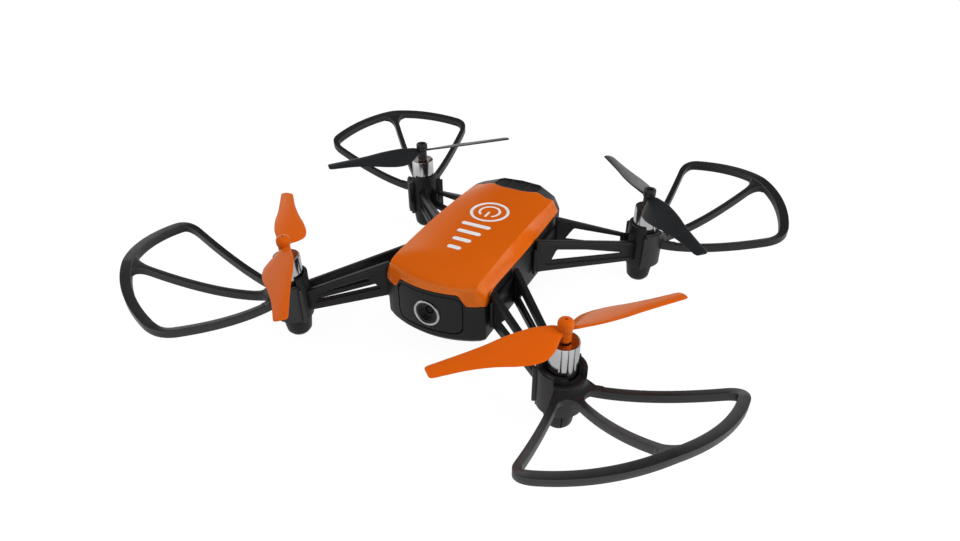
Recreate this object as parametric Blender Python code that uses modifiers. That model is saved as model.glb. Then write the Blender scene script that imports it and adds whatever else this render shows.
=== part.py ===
# Small camera quadcopter with clip-on propeller guards.
# The nose points to -Y, the drone's own left is +X, and the four feet stand on Z = 0.
# Sizes are millimetres here and become metres where a mesh is made.

import math

import bmesh
import bpy
import numpy as np
from mathutils import Matrix, Vector

MM = 0.001
CLEARANCE = 0.3

# Motors and propellers
MOTOR_SPACING_X = 93.0
MOTOR_SPACING_Y = 83.0
MOTOR_DIAMETER = 8.5
MOTOR_LENGTH = 20.0
MOTOR_TOP_Z = 29.5
MOTOR_EDGE = 0.4
MOTOR_RIM = 0.45
MOTOR_CAP_THICKNESS = 1.0
MOTOR_CAP_BOSS = 0.5
SHAFT_DIAMETER = 1.0
SHAFT_IN_MOTOR = 5.0
SHAFT_IN_HUB = 5.0
PROP_DIAMETER = 76.2
PROP_PLANE_Z = 33.2
PROP_THICKNESS = 1.1
PROP_DROOP = 0.6
HUB_DIAMETER = 4.4
HUB_BOTTOM_GAP = 0.9
HUB_HEIGHT = 6.0
HUB_DOME = 1.2
HUB_VENT_DIAMETER = 0.8
HUB_CUP_DIAMETER = 2.6
HUB_CUP_DEPTH = 1.1

# Body: moulded top shell over a tub
BODY_HALF_WIDTH = 17.5
BODY_TOP_Z = 31.8
BODY_TOP_SLOPE = 0.008
CROWN_INSET = 2.1
CROWN_Z = 31.45
CROWN_BOW = 0.0014
CROWN_PEAK_Y = 2.0
EDGE_Z = 25.6
EDGE_BOW = 0.0009
SIDE_CREASE_SHARE = 0.7
SHELL_WALL = 1.4
SHELL_CROWN_WALL = 0.7
SHELL_REAR_Y = 29.6
DECK_STATIONS = (SHELL_REAR_Y, 21.6, 8.0, -6.0, -20.0)
SCOOP_DEPTH = 2.4
SCOOP_HALF_WIDTH = 9.4
FRONT_Y = -34.4
FACET_INSET = 2.8
FACET_Y = -30.9
FRONT_CORNER_Y = -29.2
SIDE_CURL_START_Y = -21.5
NOTCH_Z = 26.5
NOTCH_HALF_WIDTH = 9.6
NOTCH_CORNER = 3.2
FRONT_EDGE_Z = 22.5
HULL_WALL = 1.6
HULL_FLOOR_Z = 7.8
HULL_CHAMFER_Z = 10.2
HULL_CHAMFER_INSET = 2.0
HULL_INNER_BEND = 0.6

# Nose rows of the shell, deck to lower edge: tilt of its skin, share of the notch, then the spine, the crown edge,
# the side crease and the lower edge as (distance in from the body's side, y, z)
SPINE_INSET = BODY_HALF_WIDTH
NOSE_ROWS = (
    (10.0, 0.0, (SPINE_INSET, -27.0, 31.1), (2.2, -26.0, 30.42), (0.55, -24.5, 27.2), (0.0, -22.8, 25.85)),
    (22.0, 0.0, (SPINE_INSET, -31.0, 30.2), (2.3, -29.3, 29.8), (0.4, -27.2, 26.9), (0.0, -24.3, 25.6)),
    (45.0, 0.0, (SPINE_INSET, -33.0, 29.4), (2.45, -30.5, 28.9), (0.2, -28.1, 26.3), (0.0, -25.2, 25.0)),
    (64.0, 0.5, (SPINE_INSET, -33.75, 27.95), (2.65, -30.8, 25.7), (0.1, -28.9, 24.6), (0.0, -26.6, 23.5)),
    (90.0, 1.0, (SPINE_INSET, FRONT_Y, NOTCH_Z), (FACET_INSET, FACET_Y, FRONT_EDGE_Z),
     (0.0, FRONT_CORNER_Y, FRONT_EDGE_Z), (0.0, -27.4, FRONT_EDGE_Z)),
)

# Battery, board and key
CAP_LENGTH = 9.0
CAP_HEART_Z = 18.0
CAP_SEAT = (0.93, 0.0, 0.91)
CAP_LOOPS = ((0.4, 0.985, 0.99), (0.8, 0.90, 0.955), (0.95, 0.8, 0.88), (1.0, 0.62, 0.7))
CAP_BOW = 0.55
GRIP_START = 0.8
GRIP_REACH = 0.62
GRIP_CROWN = 0.012
GRIP_HALF_WIDTH = 7.2
GRIP_RIBS = 9
GRIP_GROOVE = 0.6
GRIP_DEPTH = 1.2
BATTERY_WIDTH = 26.0
BATTERY_LENGTH = 46.0
BATTERY_HEIGHT = 10.8
BATTERY_EDGE = 1.2
LEDGE_THICKNESS = 1.4
LEDGE_AHEAD = 0.6
LEDGE_BEHIND = 0.3
BOARD_LENGTH = 42.0
BOARD_AHEAD = 0.62
BOARD_OVERHANG = 1.6
BOARD_THICKNESS = 1.2
SWITCH_SIZE = 4.0
SWITCH_HEIGHT = 2.2
KEY_Y = 9.1
KEY_DIAMETER = 11.0
KEY_FLANGE = 0.9
KEY_STEM_DIAMETER = 2.6
KEY_TRAVEL = 0.5
KEY_FREE_PLAY = 0.2
RING_WIDTH = 1.0
RING_FLANGE = 0.9
RING_SEAT_DROP = 0.3
LIGHT_PITCH = 5.05
LIGHT_FIRST_Y = -1.2
LIGHT_THICKNESS = 1.7
LIGHT_LENGTHS = (10.6, 8.6, 6.6, 4.8)
LIGHT_HEIGHT = 1.6

# Camera
LENS_Z = 17.9
PLATE_HALF_WIDTH = 11.2
PLATE_BOTTOM_Z = 11.9
PLATE_TOP_Z = 25.0
PLATE_CORNER = 3.0
PLATE_WALL = 1.6
LENS_RING_DIAMETER = 8.1
LENS_RING_WIDTH = 0.7
LENS_RING_PROUD = 0.5
LENS_RING_LENGTH = 2.4
LENS_RING_EDGE = 0.25
BARREL_STEP = 0.55
BARREL_LIP = 0.3
BARREL_SEAT = 1.0
BARREL_BASE = 0.4
BARREL_BORE_DIAMETER = 3.2
LENS_DIAMETER = 2.6
LENS_EDGE = 0.3
LENS_DOME = 0.5
CAMERA_WIDTH = 10.0
CAMERA_DEPTH = 6.0
CAMERA_HEIGHT = 9.0
CAMERA_EDGE = 0.5

# Arms, motor holders and feet
HOLDER_WALL = 1.0
HOLDER_TOP_Z = 20.8
HOLDER_BACK_Z = 23.0
HOLDER_BACK_ANGLE = 70.0
HOLDER_BACK_EDGE = 0.35
HOLDER_BACK_OVERLAP = 0.5
HOLDER_BACK_ROOT = 4.0
FOOT_TOP_Z = 7.2
FOOT_SHOULDER = 0.8
FOOT_NECK_DIAMETER = 9.4
FOOT_LOW_DIAMETER = 8.0
FOOT_SOLE_DIAMETER = 6.0
FOOT_CHAMFER_Z = 1.3
PLATE_THICKNESS = 1.8
PLATE_WEB = 1.0
PLATE_OFFSET = 2.6
ROOT_TOP_Z = 26.4
ROOT_BOTTOM_Z = 14.2
TIP_TOP_Z = 17.0
TIP_BOTTOM_Z = 9.7
ROOT_PAD = 1.2
PAD_OVERHANG = 0.8
PAD_BELOW = 0.6
PAD_TOP_DROP = 3.4
TIP_BACK = 0.8
RIM_INSET = 2.7
OPENING_INSET = 1.5
WINDOW_TIP_SHARE = 0.86
WINDOW_SLANT = 2.4
WINDOW_CORNER = 0.7
ARM_ROOTS = {"front": (26.0, 9.6), "rear": (25.2, 7.0)}

# Guards
GUARD_TIP_GAP = 6.0
GUARD_BAR_WIDTH = 2.0
GUARD_BAR_HEIGHT = 3.0
GUARD_BAR_EDGE = 0.6
GUARD_ARC_WIDTH = 2.4
GUARD_ARC_HEIGHT = 2.0
GUARD_NECK_WIDTH = 2.4
GUARD_FLARE_WIDTH = 5.0
GUARD_HALF_ANGLE = 43.2
GUARD_CORNER = 4.7
GUARD_LOW_Z = 16.6
GUARD_RIM_Z = 34.7
GUARD_RIM_DROP = 5.0
GUARD_RIM_CURVE = 1.4
GUARD_SAG = 1.6
GUARD_ROOT_ANGLE = 36.7
GUARD_ROOT_DEPTH = 0.26
GUARD_AZIMUTHS = {"front": 40.0, "rear": 42.0}
COLLAR_WALL = 1.0
COLLAR_BOTTOM_Z = 8.0
COLLAR_HALF_ANGLE = 112.0
COLLAR_TOP_DROP = 0.4
COLLAR_EDGE = 0.25
COLLAR_BITE = 0.6
FLANGE_DEPTH = 1.0
FLANGE_WIDTH = 1.1
FLANGE_BOTTOM_Z = 7.0
FLANGE_TOP_DROP = 0.6
WEB_LENGTH = 3.6
WEB_HEIGHT = 2.0
WEB_EDGE = 0.4
WEB_DROP = 0.2
SNAP_WIDTH = 3.0
SNAP_HEIGHT = 1.8
SNAP_ANGLE = 38.0

STEPS = 20
SMALL_STEPS = 16

MOTOR_X = MOTOR_SPACING_X / 2
MOTOR_Y = MOTOR_SPACING_Y / 2
PROP_RADIUS = PROP_DIAMETER / 2
MOTOR_BOTTOM_Z = MOTOR_TOP_Z - MOTOR_LENGTH
HOLDER_BORE = MOTOR_DIAMETER / 2 + CLEARANCE
HOLDER_RADIUS = HOLDER_BORE + HOLDER_WALL
COLLAR_INNER = HOLDER_RADIUS + CLEARANCE
COLLAR_OUTER = COLLAR_INNER + COLLAR_WALL
GUARD_ROOT_RADIUS = COLLAR_INNER + GUARD_ROOT_DEPTH
GUARD_RADIUS = PROP_RADIUS + GUARD_TIP_GAP + GUARD_ARC_WIDTH / 2

# Corner name: side signs, propeller rest angle, and +1 where it turns counter-clockwise from above
CORNERS = {
    "front_left": (1, -1, 51.0, -1),
    "front_right": (-1, -1, 129.75, 1),
    "rear_right": (-1, 1, 48.6, -1),
    "rear_left": (1, 1, 129.6, 1),
}


def start_scene():
    for old in list(bpy.data.objects):
        bpy.data.objects.remove(old)
    parts = bpy.data.collections.new("camera_quadcopter")
    bpy.context.scene.collection.children.link(parts)
    return parts


PARTS = start_scene()


def material(name, colour, roughness, metallic=0.0):
    mat = bpy.data.materials.new(name)
    mat.use_nodes = True
    shader = mat.node_tree.nodes["Principled BSDF"]
    shader.inputs["Base Color"].default_value = (*colour, 1.0)
    shader.inputs["Roughness"].default_value = roughness
    shader.inputs["Metallic"].default_value = metallic
    return mat


ORANGE = material("orange_plastic", (0.58, 0.10, 0.006), 0.35)
BLACK = material("black_plastic", (0.022, 0.022, 0.023), 0.5)
DARK = material("dark_metal", (0.03, 0.03, 0.032), 0.4, 0.6)
BRIGHT = material("bright_metal", (0.72, 0.73, 0.75), 0.22, 1.0)
PALE = material("pale_light_pipe", (0.72, 0.79, 0.83), 0.3)
GLASS = material("lens_glass", (0.01, 0.012, 0.02), 0.05)
BOARD = material("circuit_board", (0.01, 0.09, 0.05), 0.5)


# Modelling helpers

def add_object(name, mesh, mat):
    mesh.materials.clear()
    mesh.materials.append(mat)
    obj = bpy.data.objects.new(name, mesh)
    PARTS.objects.link(obj)
    return obj


def mesh_from(points, faces):
    """Mesh from millimetre points, with its faces turned outwards."""
    mesh = bpy.data.meshes.new("surface")
    mesh.from_pydata([tuple(MM * float(c) for c in p) for p in points], [], faces)
    work = bmesh.new()
    work.from_mesh(mesh)
    bmesh.ops.recalc_face_normals(work, faces=work.faces)
    work.to_mesh(mesh)
    work.free()
    return mesh


def loft(name, loops, mat):
    """Closed solid through loops of equal point count, with flat ends."""
    loops = np.asarray(loops, float)
    count, size = loops.shape[:2]
    faces = []
    for i in range(count - 1):
        for j in range(size):
            k = (j + 1) % size
            faces.append((i * size + j, i * size + k, (i + 1) * size + k, (i + 1) * size + j))
    faces.append(tuple(range(size)))
    faces.append(tuple(range((count - 1) * size, count * size)))
    return add_object(name, mesh_from(loops.reshape(-1, 3), faces), mat)


def slab(name, outer, inner, mat):
    """Wall between two grids of points of the same shape, closed round its border."""
    outer = np.asarray(outer, float)
    rows, cols = outer.shape[:2]
    points = np.concatenate([outer.reshape(-1, 3), np.asarray(inner, float).reshape(-1, 3)])
    second = rows * cols
    faces = []
    for i in range(rows - 1):
        for j in range(cols - 1):
            a = i * cols + j
            quad = (a, a + 1, a + cols + 1, a + cols)
            faces.append(quad)
            faces.append(tuple(second + v for v in reversed(quad)))
    border = [j for j in range(cols)]
    border += [i * cols + cols - 1 for i in range(1, rows)]
    border += [(rows - 1) * cols + j for j in range(cols - 2, -1, -1)]
    border += [i * cols for i in range(rows - 2, 0, -1)]
    for a, b in zip(border, border[1:] + border[:1]):
        faces.append((a, b, second + b, second + a))
    return add_object(name, mesh_from(points, faces), mat)


def tub(name, outer, inner, mat):
    """Open-topped tub between two stacks of loops, each listed from the rim down."""
    outer = np.asarray(outer, float)
    levels, size = outer.shape[:2]
    points = np.concatenate([outer.reshape(-1, 3), np.asarray(inner, float).reshape(-1, 3)])
    second = levels * size
    faces = []
    for start in (0, second):
        for i in range(levels - 1):
            for j in range(size):
                k = (j + 1) % size
                a = start + i * size
                faces.append((a + j, a + k, a + size + k, a + size + j))
        faces.append(tuple(start + (levels - 1) * size + j for j in range(size)))
    for j in range(size):
        k = (j + 1) % size
        faces.append((j, k, second + k, second + j))
    return add_object(name, mesh_from(points, faces), mat)


def turned(name, profile, mat, steps=STEPS):
    """Profile of (radius, height) turned round Z, run up the inside and down the outside."""
    mesh = bpy.data.meshes.new("profile")
    edges = [(i, i + 1) for i in range(len(profile) - 1)]
    if profile[0][0] > 0:
        edges.append((len(profile) - 1, 0))
    mesh.from_pydata([(MM * r, 0.0, MM * z) for r, z in profile], edges, [])
    obj = add_object(name, mesh, mat)
    screw = obj.modifiers.new("turn", "SCREW")
    screw.steps = steps
    screw.render_steps = steps
    screw.use_merge_vertices = True
    screw.merge_threshold = 0.00001
    bake(obj)
    return obj


def bake(obj):
    """Turn an object's modifiers into its mesh."""
    bpy.context.view_layer.update()
    graph = bpy.context.evaluated_depsgraph_get()
    mesh = bpy.data.meshes.new_from_object(obj.evaluated_get(graph))
    obj.modifiers.clear()
    obj.data = mesh


def boolean(target, tool, operation):
    modifier = target.modifiers.new(operation.lower(), "BOOLEAN")
    modifier.operation = operation
    modifier.solver = "EXACT"
    modifier.object = tool
    bake(target)
    bpy.data.objects.remove(tool)


def cut(target, tool):
    boolean(target, tool, "DIFFERENCE")


def fuse(target, *tools):
    for tool in tools:
        boolean(target, tool, "UNION")


def box(name, low, high, mat, edge=0.0):
    """Box between two corners, with its edges rounded by a bevel where asked."""
    work = bmesh.new()
    bmesh.ops.create_cube(work, size=1.0)
    low = Vector(low)
    high = Vector(high)
    for v in work.verts:
        v.co = Vector((low + high) / 2) + Vector(a * b for a, b in zip(v.co, high - low))
        v.co *= MM
    if edge > 0:
        bmesh.ops.bevel(work, geom=work.edges[:], offset=MM * edge, segments=2, affect="EDGES", profile=0.5)
    mesh = bpy.data.meshes.new(name)
    work.to_mesh(mesh)
    work.free()
    return add_object(name, mesh, mat)


def cylinder(name, radius, low, high, mat, steps=STEPS):
    """Upright cylinder on the Z axis between two heights."""
    work = bmesh.new()
    lift = Matrix.Translation((0.0, 0.0, MM * (low + high) / 2))
    bmesh.ops.create_cone(work, cap_ends=True, segments=steps, radius1=MM * radius, radius2=MM * radius,
                          depth=MM * (high - low), matrix=lift)
    mesh = bpy.data.meshes.new(name)
    work.to_mesh(mesh)
    work.free()
    return add_object(name, mesh, mat)


def move(obj, x=0.0, y=0.0, z=0.0, turn=None):
    """Shift and turn the mesh itself, so that the object stays where it is."""
    shift = Matrix.Translation((MM * x, MM * y, MM * z))
    obj.data.transform(shift @ turn if turn else shift)
    return obj


def extruded(name, outlines, thickness, frame, mat):
    """Flat outline, holes after it, in the frame's XY plane, thickened both ways along its Z."""
    curve = bpy.data.curves.new("outline", "CURVE")
    curve.dimensions = "2D"
    curve.fill_mode = "BOTH"
    curve.extrude = MM * thickness / 2
    for outline in outlines:
        spline = curve.splines.new("POLY")
        spline.points.add(len(outline) - 1)
        for point, (x, y) in zip(spline.points, outline):
            point.co = (MM * x, MM * y, 0.0, 1.0)
        spline.use_cyclic_u = True
    drawn = bpy.data.objects.new("outline", curve)
    PARTS.objects.link(drawn)
    bpy.context.view_layer.update()
    graph = bpy.context.evaluated_depsgraph_get()
    mesh = bpy.data.meshes.new_from_object(drawn.evaluated_get(graph))
    bpy.data.objects.remove(drawn)
    work = bmesh.new()
    work.from_mesh(mesh)
    bmesh.ops.remove_doubles(work, verts=work.verts, dist=0.00001)
    bmesh.ops.recalc_face_normals(work, faces=work.faces)
    work.to_mesh(mesh)
    work.free()
    mesh.transform(frame)
    return add_object(name, mesh, mat)


def rounded(points, radius, steps=2):
    """Closed outline with each corner replaced by a short arc-like curve."""
    corners = [np.asarray(p, float) for p in points]
    outline = []
    for i, corner in enumerate(corners):
        before = corners[i - 1] - corner
        after = corners[(i + 1) % len(corners)] - corner
        reach = min(radius, np.linalg.norm(before) / 2.2, np.linalg.norm(after) / 2.2)
        start = corner + before / np.linalg.norm(before) * reach
        end = corner + after / np.linalg.norm(after) * reach
        for t in np.linspace(0.0, 1.0, steps + 1):
            outline.append((1 - t) ** 2 * start + 2 * t * (1 - t) * corner + t ** 2 * end)
    return [(float(x), float(y)) for x, y in outline]


def smooth(obj, angle=30.0):
    obj.data.shade_smooth()
    obj.data.set_sharp_from_angle(angle=math.radians(angle))


def sweep(name, path, width, height, edge, mat):
    """Upright bar along a path of (x, y, top z): flat base, top edges chamfered; its size may vary on the way."""
    path = np.asarray(path, float)
    ahead = np.gradient(path[:, :2], axis=0)
    ahead /= np.linalg.norm(ahead, axis=1)[:, None]
    side = np.stack([-ahead[:, 1], ahead[:, 0]], axis=1)
    halves = np.broadcast_to(np.asarray(width, float) / 2, len(path))
    heights = np.broadcast_to(np.asarray(height, float), len(path))
    loops = []
    for point, across, half, tall in zip(path, side, halves, heights):
        section = [(half, -tall), (half, -edge), (half - edge, 0.0)]
        section += [(-x, z) for x, z in reversed(section)]
        loops.append([(point[0] + x * across[0], point[1] + x * across[1], point[2] + z) for x, z in section])
    return loft(name, loops, mat)


# Body surfaces

def front_y(x):
    """Plan curve of the nose between its two facets, deepest in the middle."""
    return FRONT_Y + (FACET_Y - FRONT_Y) * (abs(x) / (BODY_HALF_WIDTH - FACET_INSET)) ** 2


def top_z(y):
    return BODY_TOP_Z + BODY_TOP_SLOPE * y


def rear_scoop(x):
    """Rear edge of the shell draws back in the middle, where the grip of the battery cap comes up."""
    share = min(1.0, abs(x) / SCOOP_HALF_WIDTH)
    return -SCOOP_DEPTH * math.cos(math.pi / 2 * share) ** 2


def deck_row(y):
    """Spine, crown edge, side crease and lower edge of the shell at a station behind the nose."""
    crown = np.array([BODY_HALF_WIDTH - CROWN_INSET, y, CROWN_Z - CROWN_BOW * (y - CROWN_PEAK_Y) ** 2])
    edge = np.array([BODY_HALF_WIDTH, y, EDGE_Z + EDGE_BOW * y * y])
    return np.array([(0.0, y, top_z(y)), crown, crown + (edge - crown) * SIDE_CREASE_SHARE, edge])


def shell_rows():
    """Rows of the shell from its rear edge to the front lower edge: tilt of the skin, notch share, four points."""
    rows = [(0.0, 0.0, deck_row(y)) for y in DECK_STATIONS]
    for tilt, notch, *points in NOSE_ROWS:
        rows.append((math.radians(tilt), notch, np.array([(BODY_HALF_WIDTH - d, y, z) for d, y, z in points])))
    return rows


def shell_grid(inset):
    """Points of the shell's skin; an inset moves it inwards and keeps its lower rim level."""
    shares = np.array([0.0, 0.3, 0.55, 0.68, 0.78, 0.9, 1.0])
    grid = []
    for tilt, notch_share, points in shell_rows():
        inward = np.array([0.0, math.sin(tilt), -math.cos(tilt)]) * inset
        spine = points[0] + inward
        crown = points[1] + inward - (SHELL_CROWN_WALL * inset, 0.0, 0.0)
        crease = points[2] + inward * (0.0, HULL_INNER_BEND, 0.0) - (inset, 0.0, 0.0)
        edge = points[3] - (inset, 0.0, 0.0)
        half = []
        for share in shares:
            x = share * crown[0]
            notch = min(1.0, max(0.0, (x - NOTCH_HALF_WIDTH) / NOTCH_CORNER))
            drop = (1 - notch_share) * share ** 3.0 + notch_share * notch * notch * (3 - 2 * notch)
            y = spine[1] + (crown[1] - spine[1]) * share ** 2
            if not grid:
                y += rear_scoop(x)
            half.append((x, y, spine[2] + (crown[2] - spine[2]) * drop))
        half += [tuple(crease), tuple(edge)]
        grid.append([(-x, y, z) for x, y, z in reversed(half[1:])] + half)
    return np.array(grid)


def rim_loop(grid, gap):
    """Lower edge of the shell, left side to right side round the nose, lowered by a gap."""
    left = grid[:, 0]
    front = grid[-1, 1:-1]
    right = grid[::-1, -1]
    loop = np.concatenate([left, front, right])
    loop[:, 2] -= gap
    return loop


def inset_loop(loop, inset):
    """Plan outline of the tub drawn in by a wall at its sides, nose and rear."""
    result = loop.copy()
    result[:, 0] *= (BODY_HALF_WIDTH - inset) / BODY_HALF_WIDTH
    curl = (SIDE_CURL_START_Y - loop[:, 1]) / (SIDE_CURL_START_Y - FRONT_CORNER_Y)
    result[:, 1] += inset * np.clip(curl, 0.0, 1.0)
    result[loop[:, 1] > HULL_REAR_Y - CLEARANCE, 1] -= inset
    return result


def level(loop, z):
    result = loop.copy()
    result[:, 2] = z
    return result


SHELL_OUTER = shell_grid(0.0)
HULL_REAR_Y = float(SHELL_OUTER[0, 0, 1])
LEDGE_TOP_Z = HULL_FLOOR_Z + HULL_WALL + CLEARANCE + BATTERY_HEIGHT + CLEARANCE + LEDGE_THICKNESS
BOARD_BOTTOM_Z = LEDGE_TOP_Z + CLEARANCE
SWITCH_TOP_Z = BOARD_BOTTOM_Z + BOARD_THICKNESS + SWITCH_HEIGHT
RING_OUTER = KEY_DIAMETER / 2 + CLEARANCE + RING_WIDTH
KEY_TOP_Z = top_z(KEY_Y)
SHELL_UNDER_Z = KEY_TOP_Z - SHELL_WALL


def make_top_shell():
    shell = slab("top_shell", SHELL_OUTER, shell_grid(SHELL_WALL), ORANGE)
    well = cylinder("well", RING_OUTER + CLEARANCE, SHELL_UNDER_Z - 3, KEY_TOP_Z + 3, ORANGE)
    cut(shell, move(well, y=KEY_Y))
    for number in range(len(LIGHT_LENGTHS)):
        cut(shell, light_bar("slot", number, CLEARANCE, 2 * SHELL_WALL, 2 * SHELL_WALL, ORANGE))
    smooth(shell, 25.0)


def light_bar(name, number, grow, below, above, mat):
    """Round-ended bar across the shell at its own station, reaching below and above the skin."""
    y = LIGHT_FIRST_Y - LIGHT_PITCH * number
    radius = LIGHT_THICKNESS / 2 + grow
    reach = (LIGHT_LENGTHS[number] - LIGHT_THICKNESS) / 2
    turns = np.linspace(-math.pi / 2, math.pi / 2, 7)
    outline = [(reach + radius * math.cos(a), radius * math.sin(a)) for a in turns]
    outline += [(-reach - radius * math.cos(a), -radius * math.sin(a)) for a in turns]
    frame = Matrix.Translation((0.0, MM * y, MM * (top_z(y) + (above - below) / 2)))
    return extruded(name, [outline], above + below, frame, mat)


def make_key():
    """Key, its pale ring with a flange under the shell, and the four charge lights."""
    flange_top = SHELL_UNDER_Z - CLEARANCE - RING_SEAT_DROP
    flange_low = flange_top - RING_FLANGE
    bore = KEY_DIAMETER / 2 + CLEARANCE
    outer = RING_OUTER
    wide = outer + RING_FLANGE + CLEARANCE
    profile = [(bore, flange_low), (bore, KEY_TOP_Z), (outer, KEY_TOP_Z), (outer, flange_top), (wide, flange_top),
               (wide, flange_low)]
    smooth(move(turned("power_light_ring", profile, PALE), y=KEY_Y))

    key = KEY_DIAMETER / 2
    skirt = key + KEY_FLANGE
    skirt_top = flange_low - CLEARANCE
    skirt_low = skirt_top - KEY_FLANGE
    stem = KEY_STEM_DIAMETER / 2
    stem_low = SWITCH_TOP_Z + KEY_TRAVEL + KEY_FREE_PLAY
    profile = [(0.0, KEY_TOP_Z), (key, KEY_TOP_Z), (key, skirt_top), (skirt, skirt_top), (skirt, skirt_low),
               (stem, skirt_low), (stem, stem_low), (0.0, stem_low)]
    smooth(move(turned("power_button", profile, ORANGE), y=KEY_Y))

    for number in range(len(LIGHT_LENGTHS)):
        smooth(light_bar(f"battery_light_{number + 1}", number, 0.0, LIGHT_HEIGHT, 0.0, PALE))


def make_hull():
    outline = rim_loop(SHELL_OUTER, CLEARANCE)
    chamfer = level(inset_loop(outline, HULL_CHAMFER_INSET), HULL_FLOOR_Z)
    outer = [outline, level(outline, HULL_CHAMFER_Z), chamfer]
    inside = inset_loop(outline, HULL_WALL)
    floor = HULL_FLOOR_Z + HULL_WALL
    low = level(inset_loop(outline, HULL_CHAMFER_INSET + HULL_WALL * HULL_INNER_BEND), floor)
    inner = [inside, level(inside, HULL_CHAMFER_Z + HULL_WALL * HULL_INNER_BEND), low]
    hull = tub("hull", outer, inner, BLACK)
    cut(hull, face_prism("plate_hole", CLEARANCE))

    bay = BATTERY_WIDTH / 2 + CLEARANCE
    sill = floor + CLEARANCE / 2
    cut(hull, box("bay", (-bay, HULL_REAR_Y - 4, sill), (bay, HULL_REAR_Y + 4, BODY_TOP_Z + 4), BLACK))
    ledge_low = LEDGE_TOP_Z - LEDGE_THICKNESS
    for side in (-1, 1):
        edges = sorted((side * bay, side * (BODY_HALF_WIDTH - HULL_WALL / 2)))
        low_corner = (edges[0], KEY_Y - BOARD_LENGTH * LEDGE_AHEAD, ledge_low)
        high_corner = (edges[1], KEY_Y + BOARD_LENGTH * LEDGE_BEHIND, LEDGE_TOP_Z)
        fuse(hull, box("ledge", low_corner, high_corner, BLACK))
    smooth(hull)


def face_prism(name, grow):
    """Rounded rectangle of the camera plate, as a prism along Y through the nose."""
    right = PLATE_HALF_WIDTH + grow
    bottom = PLATE_BOTTOM_Z - grow
    top = PLATE_TOP_Z + grow
    outline = rounded([(-right, bottom), (right, bottom), (right, top), (-right, top)], PLATE_CORNER, 4)
    upright = Matrix.Rotation(math.radians(90.0), 4, "X")
    frame = Matrix.Translation((0.0, MM * FRONT_Y, 0.0)) @ upright
    return extruded(name, [outline], 12.0, frame, BLACK)


def make_camera():
    columns = np.linspace(-PLATE_HALF_WIDTH - 2, PLATE_HALF_WIDTH + 2, 13)
    heights = (PLATE_BOTTOM_Z - 2, PLATE_TOP_Z + 2)
    outer = [[(x, front_y(x), z) for x in columns] for z in heights]
    inner = [[(x, front_y(x) + PLATE_WALL, z) for x in columns] for z in heights]
    plate = slab("camera_faceplate", outer, inner, BLACK)
    boolean(plate, face_prism("plate_edge", 0.0), "INTERSECT")
    facing = Matrix.Rotation(math.radians(90.0), 4, "X")

    ring = LENS_RING_DIAMETER / 2
    hole = cylinder("hole", ring + CLEARANCE, -10, 10, BLACK)
    cut(plate, move(hole, y=FRONT_Y, z=LENS_Z, turn=facing))
    smooth(plate)

    # Turned about the lens axis: height 0 is the nose, and heights grow out of it
    inner_ring = ring - LENS_RING_WIDTH
    back = LENS_RING_PROUD - LENS_RING_LENGTH
    low = LENS_RING_PROUD - LENS_RING_EDGE
    profile = [(inner_ring, back), (inner_ring, low), (inner_ring + LENS_RING_EDGE, LENS_RING_PROUD),
               (ring - LENS_RING_EDGE, LENS_RING_PROUD), (ring, low), (ring, back)]
    smooth(move(turned("lens_ring", profile, BRIGHT), y=FRONT_Y, z=LENS_Z, turn=facing))

    barrel = inner_ring - CLEARANCE
    bore = BARREL_BORE_DIAMETER / 2
    middle = (barrel + bore) / 2
    seat = -2 * BARREL_STEP - BARREL_SEAT
    barrel_back = back - CLEARANCE - BARREL_BASE
    profile = [(0.0, seat), (bore, seat), (bore, -2 * BARREL_STEP), (middle, -2 * BARREL_STEP),
               (middle, -BARREL_STEP), (barrel - BARREL_LIP, -BARREL_STEP), (barrel - BARREL_LIP, 0.0), (barrel, 0.0),
               (barrel, barrel_back), (0.0, barrel_back)]
    smooth(move(turned("lens_barrel", profile, DARK, SMALL_STEPS), y=FRONT_Y, z=LENS_Z, turn=facing))

    lens = LENS_DIAMETER / 2
    base = seat + CLEARANCE
    turns = np.radians([90.0, 60.0, 30.0, 0.0])
    dome = [(lens * math.cos(a), base + LENS_EDGE + LENS_DOME * math.sin(a)) for a in turns]
    dome[0] = (0.0, dome[0][1])
    profile = dome + [(lens, base), (0.0, base)]
    smooth(move(turned("lens_glass", profile, GLASS, SMALL_STEPS), y=FRONT_Y, z=LENS_Z, turn=facing), 60.0)

    face = FRONT_Y - barrel_back + CLEARANCE
    low = (-CAMERA_WIDTH / 2, face, LENS_Z - CAMERA_HEIGHT / 2)
    high = (CAMERA_WIDTH / 2, face + CAMERA_DEPTH, LENS_Z + CAMERA_HEIGHT / 2)
    smooth(box("camera_module", low, high, DARK, CAMERA_EDGE))


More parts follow.
